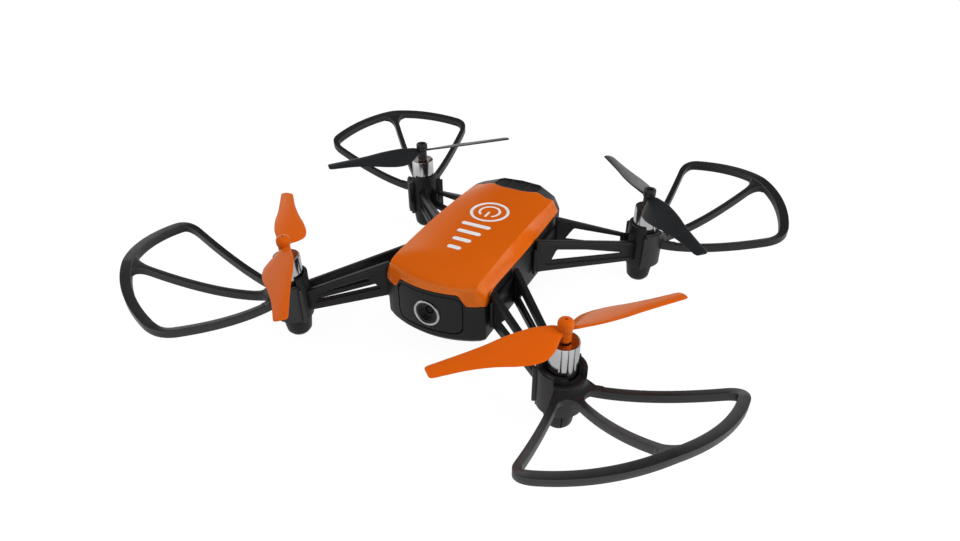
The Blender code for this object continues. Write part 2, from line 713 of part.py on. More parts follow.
def make_battery():
    """Pack that slides in from the rear, and the faceted cap with its ribbed grip."""
    floor = HULL_FLOOR_Z + HULL_WALL + CLEARANCE
    rear = HULL_REAR_Y
    face = rear + 2 * CLEARANCE
    low = (-BATTERY_WIDTH / 2, face - CLEARANCE - BATTERY_LENGTH, floor)
    high = (BATTERY_WIDTH / 2, face - CLEARANCE, floor + BATTERY_HEIGHT)
    smooth(box("battery_pack", low, high, DARK, BATTERY_EDGE))

    top = SHELL_OUTER[0]
    floor_half = BODY_HALF_WIDTH - HULL_CHAMFER_INSET
    hull_side = [(BODY_HALF_WIDTH, rear, HULL_CHAMFER_Z), (floor_half, rear, HULL_FLOOR_Z),
                 (-floor_half, rear, HULL_FLOOR_Z), (-BODY_HALF_WIDTH, rear, HULL_CHAMFER_Z)]
    first = np.concatenate([top, hull_side])
    first[:, 1] += CLEARANCE
    heart = np.array([0.0, 0.0, CAP_HEART_Z])
    seat = heart + (first - heart) * CAP_SEAT
    seat[:, 1] = face
    loops = [seat, first]
    for along, wide, tall in CAP_LOOPS:
        loop = heart + (first - heart) * (wide, 0.0, tall)
        bow = 1.0 - CAP_BOW * (np.abs(first[:, 0]) / BODY_HALF_WIDTH) ** 2.4
        loop[:, 1] = rear + CLEARANCE + CAP_LENGTH * along * bow
        loops.append(loop)
    cap = loft("battery_cap", loops, BLACK)
    pitch = 2 * GRIP_HALF_WIDTH / (GRIP_RIBS - 1)
    for number in range(GRIP_RIBS):
        x = -GRIP_HALF_WIDTH + pitch * number
        groove_low = top_z(rear) - GRIP_DEPTH - GRIP_CROWN * x * x
        low = (x - GRIP_GROOVE / 2, rear + GRIP_START, groove_low)
        high = (x + GRIP_GROOVE / 2, rear + CAP_LENGTH * GRIP_REACH, BODY_TOP_Z + 3)
        cut(cap, box("groove", low, high, BLACK))
    smooth(cap, 15.0)


def make_board():
    width = BATTERY_WIDTH / 2 + BOARD_OVERHANG
    low = (-width, KEY_Y - BOARD_LENGTH * BOARD_AHEAD, BOARD_BOTTOM_Z)
    high = (width, KEY_Y + BOARD_LENGTH * (1 - BOARD_AHEAD), BOARD_BOTTOM_Z + BOARD_THICKNESS)
    board = box("flight_board", low, high, BOARD)
    half = SWITCH_SIZE / 2
    base = BOARD_BOTTOM_Z + BOARD_THICKNESS / 2
    fuse(board, box("switch", (-half, KEY_Y - half, base), (half, KEY_Y + half, SWITCH_TOP_Z), BOARD))


# Arms

def plate_solid(root, tip, mat):
    """Upright tapering plate with a slanted slot set in a shallow rim on both faces."""
    root = np.asarray(root, float)
    tip = np.asarray(tip, float)
    length = float(np.linalg.norm(tip - root))
    ahead = (tip - root) / length

    def upper(s):
        return ROOT_TOP_Z + (TIP_TOP_Z - ROOT_TOP_Z) * s / length

    def lower(s):
        return ROOT_BOTTOM_Z + (TIP_BOTTOM_Z - ROOT_BOTTOM_Z) * s / length

    outline = [(0.0, lower(0)), (length, lower(length)), (length, upper(length)), (0.0, upper(0))]
    near = RIM_INSET
    far = length - HOLDER_RADIUS / 2
    rim = [(near, lower(near) + RIM_INSET), (far, lower(far) + RIM_INSET), (far, upper(far) - RIM_INSET),
           (near, upper(near) - RIM_INSET)]
    deep = RIM_INSET + OPENING_INSET
    narrow = deep * WINDOW_TIP_SHARE
    slot = [(deep, lower(deep) + deep), (far - OPENING_INSET, lower(far) + narrow),
            (far - OPENING_INSET, upper(far) - narrow), (deep + WINDOW_SLANT, upper(deep + WINDOW_SLANT) - deep)]
    inner = RIM_INSET / 2
    core = [(inner, lower(inner) + inner), (length - inner, lower(length) + inner),
            (length - inner, upper(length) - inner), (inner, upper(inner) - inner)]
    across = np.array([ahead[1], -ahead[0]])
    frame = Matrix(((ahead[0], 0.0, across[0], MM * root[0]), (ahead[1], 0.0, across[1], MM * root[1]),
                    (0.0, 1.0, 0.0, 0.0), (0.0, 0.0, 0.0, 1.0)))
    plate = extruded("plate", [outline, rounded(rim, WINDOW_CORNER)], PLATE_THICKNESS, frame, mat)
    fuse(plate, extruded("web", [core, rounded(slot, WINDOW_CORNER)], PLATE_WEB, frame, mat))
    return plate


def make_arm(corner):
    side, along = CORNERS[corner][:2]
    outer_y, inner_y = ARM_ROOTS[corner.split("_")[0]]
    axis = np.array([MOTOR_X, MOTOR_Y])
    root_x = BODY_HALF_WIDTH + CLEARANCE + ROOT_PAD / 2
    signs = np.array([side, along])
    middle = np.array([root_x, (outer_y + inner_y) / 2])
    heading = (axis - middle) / np.linalg.norm(axis - middle)
    left = np.array([-heading[1], heading[0]])

    neck = FOOT_NECK_DIAMETER / 2
    profile = [(0.0, HOLDER_TOP_Z), (HOLDER_RADIUS, HOLDER_TOP_Z), (HOLDER_RADIUS, FOOT_TOP_Z),
               (neck, FOOT_TOP_Z - FOOT_SHOULDER), (FOOT_LOW_DIAMETER / 2, FOOT_CHAMFER_Z),
               (FOOT_SOLE_DIAMETER / 2, 0.0), (0.0, 0.0)]
    arm = move(turned(f"arm_{corner}", profile, BLACK), x=side * MOTOR_X, y=along * MOTOR_Y)

    facing = math.atan2(along * -heading[1], side * -heading[0])
    wall = HOLDER_WALL + HOLDER_BACK_OVERLAP
    radius = HOLDER_RADIUS - wall / 2
    turns = facing + np.radians(np.linspace(-HOLDER_BACK_ANGLE, HOLDER_BACK_ANGLE, 10))
    path = [(side * MOTOR_X + radius * math.cos(a), along * MOTOR_Y + radius * math.sin(a), HOLDER_BACK_Z)
            for a in turns]
    height = HOLDER_BACK_Z - HOLDER_TOP_Z + HOLDER_BACK_ROOT
    fuse(arm, sweep("back", path, wall, height, HOLDER_BACK_EDGE, BLACK))

    tip_back = HOLDER_BORE * TIP_BACK
    for root_y, offset in ((outer_y, PLATE_OFFSET), (inner_y, -PLATE_OFFSET)):
        root = signs * np.array([root_x, root_y])
        tip = signs * (axis + left * offset - heading * tip_back)
        fuse(arm, plate_solid(root, tip, BLACK))
    overhang = PLATE_THICKNESS * PAD_OVERHANG
    pad_y = sorted((along * (outer_y + overhang), along * (inner_y - overhang)))
    pad_x = sorted((side * (BODY_HALF_WIDTH + CLEARANCE), side * (BODY_HALF_WIDTH + CLEARANCE + ROOT_PAD)))
    low = (pad_x[0], pad_y[0], ROOT_BOTTOM_Z - PAD_BELOW)
    high = (pad_x[1], pad_y[1], ROOT_TOP_Z - PAD_TOP_DROP)
    fuse(arm, box("pad", low, high, BLACK))
    bore = cylinder("bore", HOLDER_BORE, MOTOR_BOTTOM_Z - CLEARANCE, HOLDER_BACK_Z + 2, BLACK)
    cut(arm, move(bore, x=side * MOTOR_X, y=along * MOTOR_Y))
    smooth(arm)


# Motors and propellers

def make_motor(corner):
    side, along = CORNERS[corner][:2]
    place = (MM * side * MOTOR_X, MM * along * MOTOR_Y, 0.0)
    radius = MOTOR_DIAMETER / 2
    inside = radius - MOTOR_RIM
    shaft = SHAFT_DIAMETER / 2
    shaft_bore = shaft + CLEARANCE
    seat = MOTOR_TOP_Z - MOTOR_CAP_THICKNESS
    bore_low = MOTOR_TOP_Z - SHAFT_IN_MOTOR - CLEARANCE
    profile = [(0.0, bore_low), (shaft_bore, bore_low), (shaft_bore, seat - CLEARANCE), (inside, seat - CLEARANCE),
               (inside, MOTOR_TOP_Z), (radius - MOTOR_EDGE / 2, MOTOR_TOP_Z), (radius, MOTOR_TOP_Z - MOTOR_EDGE),
               (radius, MOTOR_BOTTOM_Z + MOTOR_EDGE), (radius - MOTOR_EDGE, MOTOR_BOTTOM_Z), (0.0, MOTOR_BOTTOM_Z)]
    can = turned(f"motor_can_{corner}", profile, BRIGHT)
    can.location = place
    smooth(can)

    boss = shaft_bore + 0.6
    rim = inside - CLEARANCE
    profile = [(shaft_bore, seat), (shaft_bore, MOTOR_TOP_Z + MOTOR_CAP_BOSS - CLEARANCE),
               (boss, MOTOR_TOP_Z + MOTOR_CAP_BOSS - CLEARANCE), (boss, MOTOR_TOP_Z - 0.2), (rim, MOTOR_TOP_Z - 0.2),
               (rim, seat)]
    cap = turned(f"motor_cap_{corner}", profile, DARK, SMALL_STEPS)
    cap.location = place
    smooth(cap)

    shaft_top = MOTOR_TOP_Z + MOTOR_CAP_BOSS + HUB_BOTTOM_GAP + SHAFT_IN_HUB - CLEARANCE
    rod = cylinder(f"motor_shaft_{corner}", shaft, MOTOR_TOP_Z - SHAFT_IN_MOTOR, shaft_top, BRIGHT, SMALL_STEPS)
    rod.location = place
    smooth(rod)


def blade(hand, angle):
    """Twisted blade lofted outwards; hand is +1 where the leading edge lies counter-clockwise."""
    # Each station: share of the radius, chord ahead and behind as shares of it, pitch in degrees
    stations = ((0.037, 0.036, 0.036, 23.0), (0.06, 0.050, 0.054, 23.0), (0.13, 0.068, 0.119, 22.0),
                (0.21, 0.083, 0.169, 20.6), (0.30, 0.087, 0.181, 19.0), (0.42, 0.084, 0.163, 17.0),
                (0.58, 0.067, 0.116, 14.3), (0.76, 0.057, 0.080, 11.3), (0.92, 0.051, 0.064, 8.7),
                (0.98, 0.048, 0.058, 7.7), (1.0, 0.036, 0.044, 7.3))
    loops = []
    for share, lead, trail, pitch in stations:
        thick = PROP_THICKNESS * (1.0 - 0.45 * share) / 2
        section = [(lead, 0.0), (lead * 0.55, thick), (-trail * 0.35, thick * 0.9), (-trail, 0.15 * thick),
                   (-trail * 0.4, -thick * 0.7), (lead * 0.55, -thick * 0.8)]
        tilt = math.radians(pitch)
        plane = PROP_PLANE_Z - PROP_DROOP * share
        loop = []
        for chord, lift in section:
            chord *= PROP_RADIUS
            y = chord * math.cos(tilt) - lift * math.sin(tilt)
            z = chord * math.sin(tilt) + lift * math.cos(tilt)
            loop.append((share * PROP_RADIUS, hand * y, plane + z))
        loops.append(loop)
    solid = loft("blade", loops, BLACK)
    return move(solid, turn=Matrix.Rotation(math.radians(angle), 4, "Z"))


def make_propeller(corner):
    side, along, rest, hand = CORNERS[corner]
    mat = ORANGE if along < 0 else BLACK
    low = MOTOR_TOP_Z + MOTOR_CAP_BOSS + HUB_BOTTOM_GAP - CLEARANCE
    high = low + HUB_HEIGHT
    outer = HUB_DIAMETER / 2
    bore = SHAFT_DIAMETER / 2 + CLEARANCE
    bore_top = low + SHAFT_IN_HUB + CLEARANCE
    vent = HUB_VENT_DIAMETER / 2 if along < 0 else HUB_CUP_DIAMETER / 2
    cup = high - HUB_CUP_DEPTH
    shoulder = high - HUB_DOME
    turns = np.radians([70.0, 45.0, 20.0, 0.0])
    dome = [(outer - HUB_DOME * (1 - math.cos(a)), shoulder + HUB_DOME * math.sin(a)) for a in turns]
    if along < 0:
        profile = [(bore, low), (bore, bore_top), (vent, bore_top), (vent, high - 0.05)] + dome + [(outer, low)]
    else:
        profile = [(bore, low), (bore, cup - 0.2), (vent, cup), (vent, high - 0.25)]
        profile += [(outer - 0.25, high - 0.25), (outer, high - 0.6), (outer, low)]
    prop = turned(f"propeller_{corner}", profile, mat, SMALL_STEPS)
    fuse(prop, blade(hand, 0.0), blade(hand, 180.0))
    move(prop, turn=Matrix.Rotation(math.radians(rest), 4, "Z"))
    prop.location = (MM * side * MOTOR_X, MM * along * MOTOR_Y, 0.0)
    smooth(prop, 35.0)


# Guards

def arc_point(angle):
    """Point on top of the outer arc, which is highest in the middle and lower at its corners."""
    share = abs(angle) / math.radians(GUARD_HALF_ANGLE)
    z = GUARD_RIM_Z - GUARD_RIM_DROP * share ** GUARD_RIM_CURVE
    return np.array([GUARD_RADIUS * math.cos(angle), GUARD_RADIUS * math.sin(angle), z])


def spoke_points(root, end, shares):
    """Points from the collar out to the arc, sagging between the two heights."""
    start = np.array([root[0], root[1], GUARD_LOW_Z])
    return [start + (end - start) * (share, share, share ** GUARD_SAG) for share in shares]


def guard_path():
    """Loop of the guard: out along one side spoke, round the arc and back, as (x, y, top z, width, height)."""
    half = math.radians(GUARD_HALF_ANGLE)
    corner = arc_point(-half)
    turn = math.radians(GUARD_ROOT_ANGLE)
    root = (GUARD_ROOT_RADIUS * math.cos(turn), -GUARD_ROOT_RADIUS * math.sin(turn))
    reach = math.hypot(corner[0] - root[0], corner[1] - root[1])
    points = spoke_points(root, corner, np.linspace(0.0, 1.0 - GUARD_CORNER / reach, 6))
    sizes = [(GUARD_BAR_WIDTH, GUARD_BAR_HEIGHT)] * len(points)
    start = points[-1]
    bend = -half + GUARD_CORNER / GUARD_RADIUS
    stop = arc_point(bend)
    for t in (0.25, 0.5, 0.75, 1.0):
        points.append((1 - t) ** 2 * start + 2 * t * (1 - t) * corner + t ** 2 * stop)
        sizes.append((GUARD_BAR_WIDTH + (GUARD_ARC_WIDTH - GUARD_BAR_WIDTH) * t,
                      GUARD_BAR_HEIGHT + (GUARD_ARC_HEIGHT - GUARD_BAR_HEIGHT) * t))
    points += [arc_point(angle) for angle in np.linspace(bend, 0.0, 5)[1:]]
    sizes += [(GUARD_ARC_WIDTH, GUARD_ARC_HEIGHT)] * 4
    first = np.concatenate([points, sizes], axis=1)
    return np.concatenate([first, first[-2::-1] * (1, -1, 1, 1, 1)])


def guard_mesh():
    """Clip collar, three spokes and outer arc, made once with its outward direction along +X."""
    path = guard_path()
    guard = sweep("guard", path[:, :3], path[:, 3], path[:, 4], GUARD_BAR_EDGE, BLACK)
    start = COLLAR_INNER + COLLAR_WALL * COLLAR_BITE
    spoke = spoke_points((start, 0.0), arc_point(0.0), (0.0, 0.2, 0.4, 0.62, 0.83, 0.94, 1.0))
    widths = [GUARD_BAR_WIDTH] * 5 + [GUARD_NECK_WIDTH, GUARD_FLARE_WIDTH]
    heights = [GUARD_BAR_HEIGHT] * 5 + [GUARD_ARC_HEIGHT] * 2
    middle = sweep("spoke", spoke, widths, heights, GUARD_BAR_EDGE, BLACK)

    radius = COLLAR_INNER + COLLAR_WALL / 2
    top = HOLDER_TOP_Z - COLLAR_TOP_DROP
    turns = np.radians(np.linspace(-COLLAR_HALF_ANGLE, COLLAR_HALF_ANGLE, 17))
    path = [(radius * math.cos(a), radius * math.sin(a), top) for a in turns]
    collar = sweep("collar", path, COLLAR_WALL, top - COLLAR_BOTTOM_Z, COLLAR_EDGE, BLACK)
    web_radius = start + WEB_LENGTH / 2
    turns = np.radians(np.linspace(-GUARD_HALF_ANGLE, GUARD_HALF_ANGLE, 6))
    path = [(web_radius * math.cos(a), web_radius * math.sin(a), GUARD_LOW_Z - WEB_DROP) for a in turns]
    web = sweep("web", path, WEB_LENGTH, WEB_HEIGHT, WEB_EDGE, BLACK)
    fuse(guard, middle, collar, web)

    for hand in (-1, 1):
        low = (COLLAR_INNER, -FLANGE_WIDTH / 2, FLANGE_BOTTOM_Z)
        high = (COLLAR_OUTER + FLANGE_DEPTH, FLANGE_WIDTH / 2, top - FLANGE_TOP_DROP)
        lug = box("lug", low, high, BLACK)
        fuse(guard, move(lug, turn=Matrix.Rotation(math.radians(hand * COLLAR_HALF_ANGLE), 4, "Z")))
        low = (COLLAR_INNER - 1, -SNAP_WIDTH / 2, top - SNAP_HEIGHT)
        high = (COLLAR_OUTER + 1, SNAP_WIDTH / 2, top + 1)
        snap = box("snap", low, high, BLACK)
        cut(guard, move(snap, turn=Matrix.Rotation(math.radians(hand * SNAP_ANGLE), 4, "Z")))
    mesh = guard.data
    bpy.data.objects.remove(guard)
    return mesh


def make_guards():
    mesh = guard_mesh()
    for corner, (side, along, _, _) in CORNERS.items():
        guard = add_object(f"guard_{corner}", mesh, BLACK)
        guard.location = (MM * side * MOTOR_X, MM * along * MOTOR_Y, 0.0)
        outward = math.radians(GUARD_AZIMUTHS[corner.split("_")[0]])
        guard.rotation_euler = (0.0, 0.0, math.atan2(along * math.sin(outward), side * math.cos(outward)))
        smooth(guard)


make_top_shell()
make_key()
make_hull()
make_camera()
make_battery()
make_board()
for place in CORNERS:
    make_arm(place)
    make_motor(place)
    make_propeller(place)
make_guards()
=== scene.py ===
# %% [markdown]
# # A small camera quadcopter, dressed piece by piece
# The measured CAD model is the frame of this lesson: it says where every piece sits and what it moves with.
# Each cell below replaces a plain CAD solid with a finer surface, worked out as a formula on a grid of
# points, and gives it the finish of the real thing. Sizes are written in millimetres and become metres in
# the mesh.

import math

import bmesh
import bpy
import numpy as np
from mathutils import Matrix, Vector


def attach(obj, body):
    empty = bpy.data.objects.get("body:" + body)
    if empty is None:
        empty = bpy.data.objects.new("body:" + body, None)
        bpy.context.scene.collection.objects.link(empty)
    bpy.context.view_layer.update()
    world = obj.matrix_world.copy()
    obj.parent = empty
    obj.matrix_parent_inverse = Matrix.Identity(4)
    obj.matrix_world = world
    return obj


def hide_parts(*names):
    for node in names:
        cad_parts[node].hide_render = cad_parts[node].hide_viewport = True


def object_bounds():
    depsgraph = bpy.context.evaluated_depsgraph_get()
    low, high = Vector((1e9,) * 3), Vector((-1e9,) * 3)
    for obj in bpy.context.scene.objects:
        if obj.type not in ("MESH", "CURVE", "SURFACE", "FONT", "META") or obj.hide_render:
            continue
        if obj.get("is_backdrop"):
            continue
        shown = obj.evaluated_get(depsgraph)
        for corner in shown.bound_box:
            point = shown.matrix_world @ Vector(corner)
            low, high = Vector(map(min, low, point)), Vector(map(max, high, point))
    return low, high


MM = 0.001
UP = (0.0, 0.0, 1.0)
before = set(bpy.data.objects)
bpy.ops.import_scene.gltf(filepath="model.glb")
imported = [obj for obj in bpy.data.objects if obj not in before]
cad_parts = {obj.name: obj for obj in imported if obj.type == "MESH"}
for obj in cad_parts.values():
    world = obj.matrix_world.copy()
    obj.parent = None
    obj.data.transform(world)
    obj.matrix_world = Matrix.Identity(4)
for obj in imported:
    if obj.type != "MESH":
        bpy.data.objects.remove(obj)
cad_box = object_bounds()

# %% [markdown]
# ## Camera
# The photograph was taken from above the drone's left front. Its view was found by fitting the four hubs
# and feet, so the camera is written as a place, two angles and a slight roll, with no shift and nothing out
# of focus.

# %% Camera from the fitted view
CAMERA_PLACE = (86.617, -168.481, 137.922)
CAMERA_AZIMUTH = math.radians(27.0)
CAMERA_ELEVATION = math.radians(33.384)
CAMERA_ROLL = math.radians(-0.2755)
CAMERA_LENS = 24.408
CAMERA_SENSOR = 36.0
CAMERA_NEAR = 5.0


def view_axes(azimuth, elevation, roll):
    """Right, up and back of a camera swung round Z, raised above the floor by a second angle, then rolled."""
    back = np.array([math.sin(azimuth) * math.cos(elevation), -math.cos(azimuth) * math.cos(elevation),
                     math.sin(elevation)])
    right = np.cross(UP, back)
    right /= np.linalg.norm(right)
    up = np.cross(back, right)
    return math.cos(roll) * right + math.sin(roll) * up, math.cos(roll) * up - math.sin(roll) * right, back


lens_settings = bpy.data.cameras.new("photo_view")
lens_settings.sensor_width = CAMERA_SENSOR
lens_settings.lens = CAMERA_LENS
lens_settings.clip_start = CAMERA_NEAR * MM
camera = bpy.data.objects.new("photo_view", lens_settings)
bpy.context.scene.collection.objects.link(camera)
placed = np.eye(4)
placed[:3, :3] = np.stack(view_axes(CAMERA_AZIMUTH, CAMERA_ELEVATION, CAMERA_ROLL), axis=1)
placed[:3, 3] = np.array(CAMERA_PLACE) * MM
camera.matrix_world = Matrix(placed.tolist())
bpy.context.scene.camera = camera
print("camera stands", round(float(np.linalg.norm(CAMERA_PLACE))), "mm from the middle of the floor")

# %% [markdown]
# ## Studio
# The photograph is a catalogue picture: white all round, soft light from every side, hardly a shadow. A
# white room would do it, but then the level of the light and the colour of the room hang together. Here
# each kind of ray has its own room. The camera sees plain white, also through glass. Matt surfaces are lit
# by a grey sky and four soft lamps. Gloss sees a graded room without the lamps, so highlights can be placed
# without changing the light.

# %% Node helper and white room
def linear(colour):
    """Linear colour of an sRGB hex value."""
    value = np.array([int(colour[i:i + 2], 16) for i in (1, 3, 5)]) / 255.0
    value = np.where(value <= 0.04045, value / 12.92, ((value + 0.055) / 1.055) ** 2.4)
    return (*(float(v) for v in value), 1.0)


def add(tree, kind, values=None, **settings):
    """One node with its settings; a value that is a socket is wired in, any other is typed in."""
    node = tree.nodes.new(kind)
    for name, setting in settings.items():
        setattr(node, name, setting)
    for name, value in (values or {}).items():
        if isinstance(value, bpy.types.NodeSocket):
            tree.links.new(value, node.inputs[name])
        else:
            node.inputs[name].default_value = value
    return node


def ray_kinds(tree):
    """Two sockets: 1 for a ray from the camera or through glass, and 1 for a ray that is seen in gloss."""
    path = add(tree, "ShaderNodeLightPath").outputs
    seen = add(tree, "ShaderNodeMath", {0: path["Is Camera Ray"], 1: path["Is Transmission Ray"]},
               operation="MAXIMUM")
    return seen.outputs[0], path["Is Glossy Ray"]


SKY_LEVEL = 0.42
# In gloss the room is white at the horizon and dark overhead, with one big pale screen on the left.
# Each fade runs along one direction, from a level at its start to nothing at its end
GLOSS_FADES = {
    "horizon": ("Z", 0.18, 0.40, 0.9),
    "screen": ("X", -0.60, -0.38, 0.75),
    "screen_top": ("Z", 0.46, 0.62, 1.0),
}

world = bpy.data.worlds.new("white_room")
world.use_nodes = True
bpy.context.scene.world = world
sky = world.node_tree
sky.nodes.clear()
seen, glossy = ray_kinds(sky)
toward = add(sky, "ShaderNodeTexCoord").outputs["Generated"]
ahead = add(sky, "ShaderNodeSeparateXYZ", {0: toward}).outputs
fades = {}
for name, (direction, start, end, level) in GLOSS_FADES.items():
    fade = add(sky, "ShaderNodeMapRange", {"Value": ahead[direction], "From Min": start, "From Max": end,
                                           "To Min": level, "To Max": 0.0}, interpolation_type="SMOOTHSTEP")
    fades[name] = fade.outputs[0]
screen = add(sky, "ShaderNodeMath", {0: fades["screen"], 1: fades["screen_top"]}, operation="MULTIPLY")
band = add(sky, "ShaderNodeMath", {0: fades["horizon"], 1: screen.outputs[0]}, operation="MAXIMUM")
dim = add(sky, "ShaderNodeBackground", {"Color": linear("#F4F6FA"), "Strength": SKY_LEVEL})
white = add(sky, "ShaderNodeBackground", {"Color": linear("#FFFFFF"), "Strength": 1.0})
gloss = add(sky, "ShaderNodeBackground", {"Color": linear("#FFFFFF"), "Strength": band.outputs[0]})
room = add(sky, "ShaderNodeMixShader", {0: glossy, 1: dim.outputs[0], 2: gloss.outputs[0]})
room = add(sky, "ShaderNodeMixShader", {0: seen, 1: room.outputs[0], 2: white.outputs[0]})
add(sky, "ShaderNodeOutputWorld", {"Surface": room.outputs[0]})
print("white room: grey sky at", SKY_LEVEL, "and", len(fades), "fades in gloss")

# %% Floor
# Glow of the floor in gloss: FLOOR_NEAR is a painted shade under the drone, fading out to FLOOR_FAR farther
# away
FLOOR_NEAR = 0.46
FLOOR_FAR = 0.85
FLOOR_NEAR_REACH = 80.0
FLOOR_FAR_REACH = 190.0
FLOOR_SHADOW = 0.08
FLOOR_GLOW = 1.03
FLOOR_REACH = 3000.0
FLOOR_DROP = 0.067

floor_paint = bpy.data.materials.new("white_floor_paint")
floor_paint.use_nodes = True
tree = floor_paint.node_tree
tree.nodes.clear()
seen, glossy = ray_kinds(tree)
matt = add(tree, "ShaderNodeBsdfDiffuse", {"Color": linear("#F2F2F2")})
glow = add(tree, "ShaderNodeEmission", {"Color": linear("#FFFFFF"), "Strength": FLOOR_GLOW})
# In gloss the floor glows greyer under the drone and white farther out: a painted shade under the drone, seen
# only in reflections
place = add(tree, "ShaderNodeTexCoord").outputs["Object"]
distance = add(tree, "ShaderNodeVectorMath", {0: place}, operation="LENGTH").outputs["Value"]
level = add(tree, "ShaderNodeMapRange", {"Value": distance, "From Min": FLOOR_NEAR_REACH * MM,
                                         "From Max": FLOOR_FAR_REACH * MM, "To Min": FLOOR_NEAR,
                                         "To Max": FLOOR_FAR}, interpolation_type="SMOOTHSTEP")
floor_shade_glow = add(tree, "ShaderNodeEmission", {"Color": linear("#FFFFFF"), "Strength": level.outputs[0]})
share = add(tree, "ShaderNodeMath", {0: seen, 1: 1.0 - FLOOR_SHADOW}, operation="MULTIPLY")
both = add(tree, "ShaderNodeMixShader", {0: share.outputs[0], 1: matt.outputs[0], 2: glow.outputs[0]})
both = add(tree, "ShaderNodeMixShader", {0: glossy, 1: both.outputs[0], 2: floor_shade_glow.outputs[0]})
add(tree, "ShaderNodeOutputMaterial", {"Surface": both.outputs[0]})

floor_mesh = bpy.data.meshes.new("floor")
corners = FLOOR_REACH * np.array([(-1, -1, 0), (1, -1, 0), (1, 1, 0), (-1, 1, 0)]) - (0, 0, FLOOR_DROP)
floor_mesh.from_pydata((corners * MM).tolist(), [], [(0, 1, 2, 3)])
floor_mesh.materials.append(floor_paint)
floor = bpy.data.objects.new("floor", floor_mesh)
bpy.context.scene.collection.objects.link(floor)
floor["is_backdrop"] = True
print("floor reaches", FLOOR_REACH, "mm each way")

# %% Soft lamps
DRONE_MIDDLE = (0.0, 0.0, 0.02)


def soft_lamp(name, place, size, power):
    """Square lamp at a place in metres, turned to face the middle of the drone and hidden from gloss."""
    light = bpy.data.lights.new(name, "AREA")
    light.size = size
    light.energy = power
    lamp = bpy.data.objects.new(name, light)
    bpy.context.scene.collection.objects.link(lamp)
    back = np.array(place, float) - DRONE_MIDDLE
    lamp.location = place
    lamp.rotation_euler = Vector(back).to_track_quat("Z", "Y").to_euler()
    lamp.visible_glossy = False


soft_lamp("top_softbox", (-0.10, 0.15, 0.75), 0.9, 1.7)
soft_lamp("left_softbox", (-0.80, 0.10, 0.45), 0.7, 1.8)
soft_lamp("right_softbox", (0.75, 0.10, 0.35), 0.6, 7.0)
soft_lamp("front_softbox", (-0.15, -0.60, 0.66), 0.6, 2.6)
bpy.context.scene.view_settings.view_transform = "Standard"

# %% [markdown]
# ## Finishes
# Almost everything here is injection-moulded plastic, ABS or nylon, pressed into a mould with a fine
# spark-eroded skin. Seen close it has a faint orange-peel bump and a patchy gloss, never one flat colour.
# The motors are plated steel, the light pipes in the shell are clouded acrylic. Each finish is named for
# its material and its making.

# %% Moulded plastics
PLASTIC_IOR = 1.53
FLOW_SIZE = 14.0
GLOSS_PATCH_SIZE = 3.0
GLOSS_DUSTING = (-0.04, 0.05)
GRAIN_STRENGTH = 0.6


def shader_of(finish):
    """Inputs of a finish's one shader."""
    return finish.node_tree.nodes["Principled BSDF"].inputs


def new_finish(name):
    """A finish with its node tree, its shader's inputs and the piece's own coordinates."""
    finish = bpy.data.materials.new(name)
    finish.use_nodes = True
    tree = finish.node_tree
    return finish, tree, shader_of(finish), add(tree, "ShaderNodeTexCoord").outputs["Object"]


def moulded(name, pale, deep, gloss, grain_mm, grain_depth_mm, shine=0.5):
    """Moulded plastic: two near colours in slow flow clouds, a patchy gloss and a fine eroded grain."""
    finish, tree, shader, place = new_finish(name)
    cloud = add(tree, "ShaderNodeTexNoise", {"Vector": place, "Scale": 1.0 / (FLOW_SIZE * MM), "Detail": 3.0})
    flow = add(tree, "ShaderNodeMix", {0: cloud.outputs["Fac"], 6: linear(deep), 7: linear(pale)},
               data_type="RGBA")
    tree.links.new(flow.outputs[2], shader["Base Color"])
    patch = add(tree, "ShaderNodeTexNoise", {"Vector": place, "Scale": 1.0 / (GLOSS_PATCH_SIZE * MM),
                                             "Detail": 4.0})
    low, high = (gloss + change for change in GLOSS_DUSTING)
    rough = add(tree, "ShaderNodeMapRange", {"Value": patch.outputs["Fac"], "From Min": 0.3, "From Max": 0.7,
                                             "To Min": low, "To Max": high})
    tree.links.new(rough.outputs[0], shader["Roughness"])
    grain = add(tree, "ShaderNodeTexNoise", {"Vector": place, "Scale": 1.0 / (grain_mm * MM), "Detail": 2.0})
    bump = add(tree, "ShaderNodeBump", {"Height": grain.outputs["Fac"], "Strength": GRAIN_STRENGTH,
                                        "Distance": grain_depth_mm * MM})
    tree.links.new(bump.outputs[0], shader["Normal"])
    shader["IOR"].default_value = PLASTIC_IOR
    shader["Specular IOR Level"].default_value = shine
    return finish


# Orange cover: smooth enough to show the room as a soft wash over a deep colour
ORANGE_SHELL = moulded("orange_abs_satin_moulded", "#C4570B", "#BE530A", 0.13, 0.45, 0.0015, 0.5)
# Propellers: a slightly deeper orange in nylon, with a weak shine
ORANGE_BLADE = moulded("orange_nylon_blade_moulded", "#BF5109", "#BA4D08", 0.12, 0.6, 0.0004, 0.12)
# In the photograph bright orange drifts towards yellow, so the gloss is tinted and the blades have a bloom
for finish in (ORANGE_SHELL, ORANGE_BLADE):
    shader_of(finish)["Specular Tint"].default_value = linear("#C0FFB8")
bloom = shader_of(ORANGE_BLADE)
bloom["Sheen Weight"].default_value = 0.16
bloom["Sheen Roughness"].default_value = 0.4
bloom["Sheen Tint"].default_value = linear("#CBFFB4")
# Black structure: fine spark-eroded skin that shows the room only faintly
BLACK_FRAME = moulded("black_abs_eroded_moulded", "#1B1B1C", "#171718", 0.36, 0.40, 0.005, 0.3)
# The guards come from another mould: greyer, with more shine
BLACK_GUARD = moulded("black_nylon_guard_moulded", "#222223", "#1C1C1D", 0.34, 0.40, 0.004, 0.6)
# Black propellers, a little glossier than the frame
BLACK_BLADE = moulded("black_nylon_blade_moulded", "#222325", "#1D1E20", 0.32, 0.6, 0.003)
print("moulded plastics:", [m.name for m in bpy.data.materials if "moulded" in m.name])

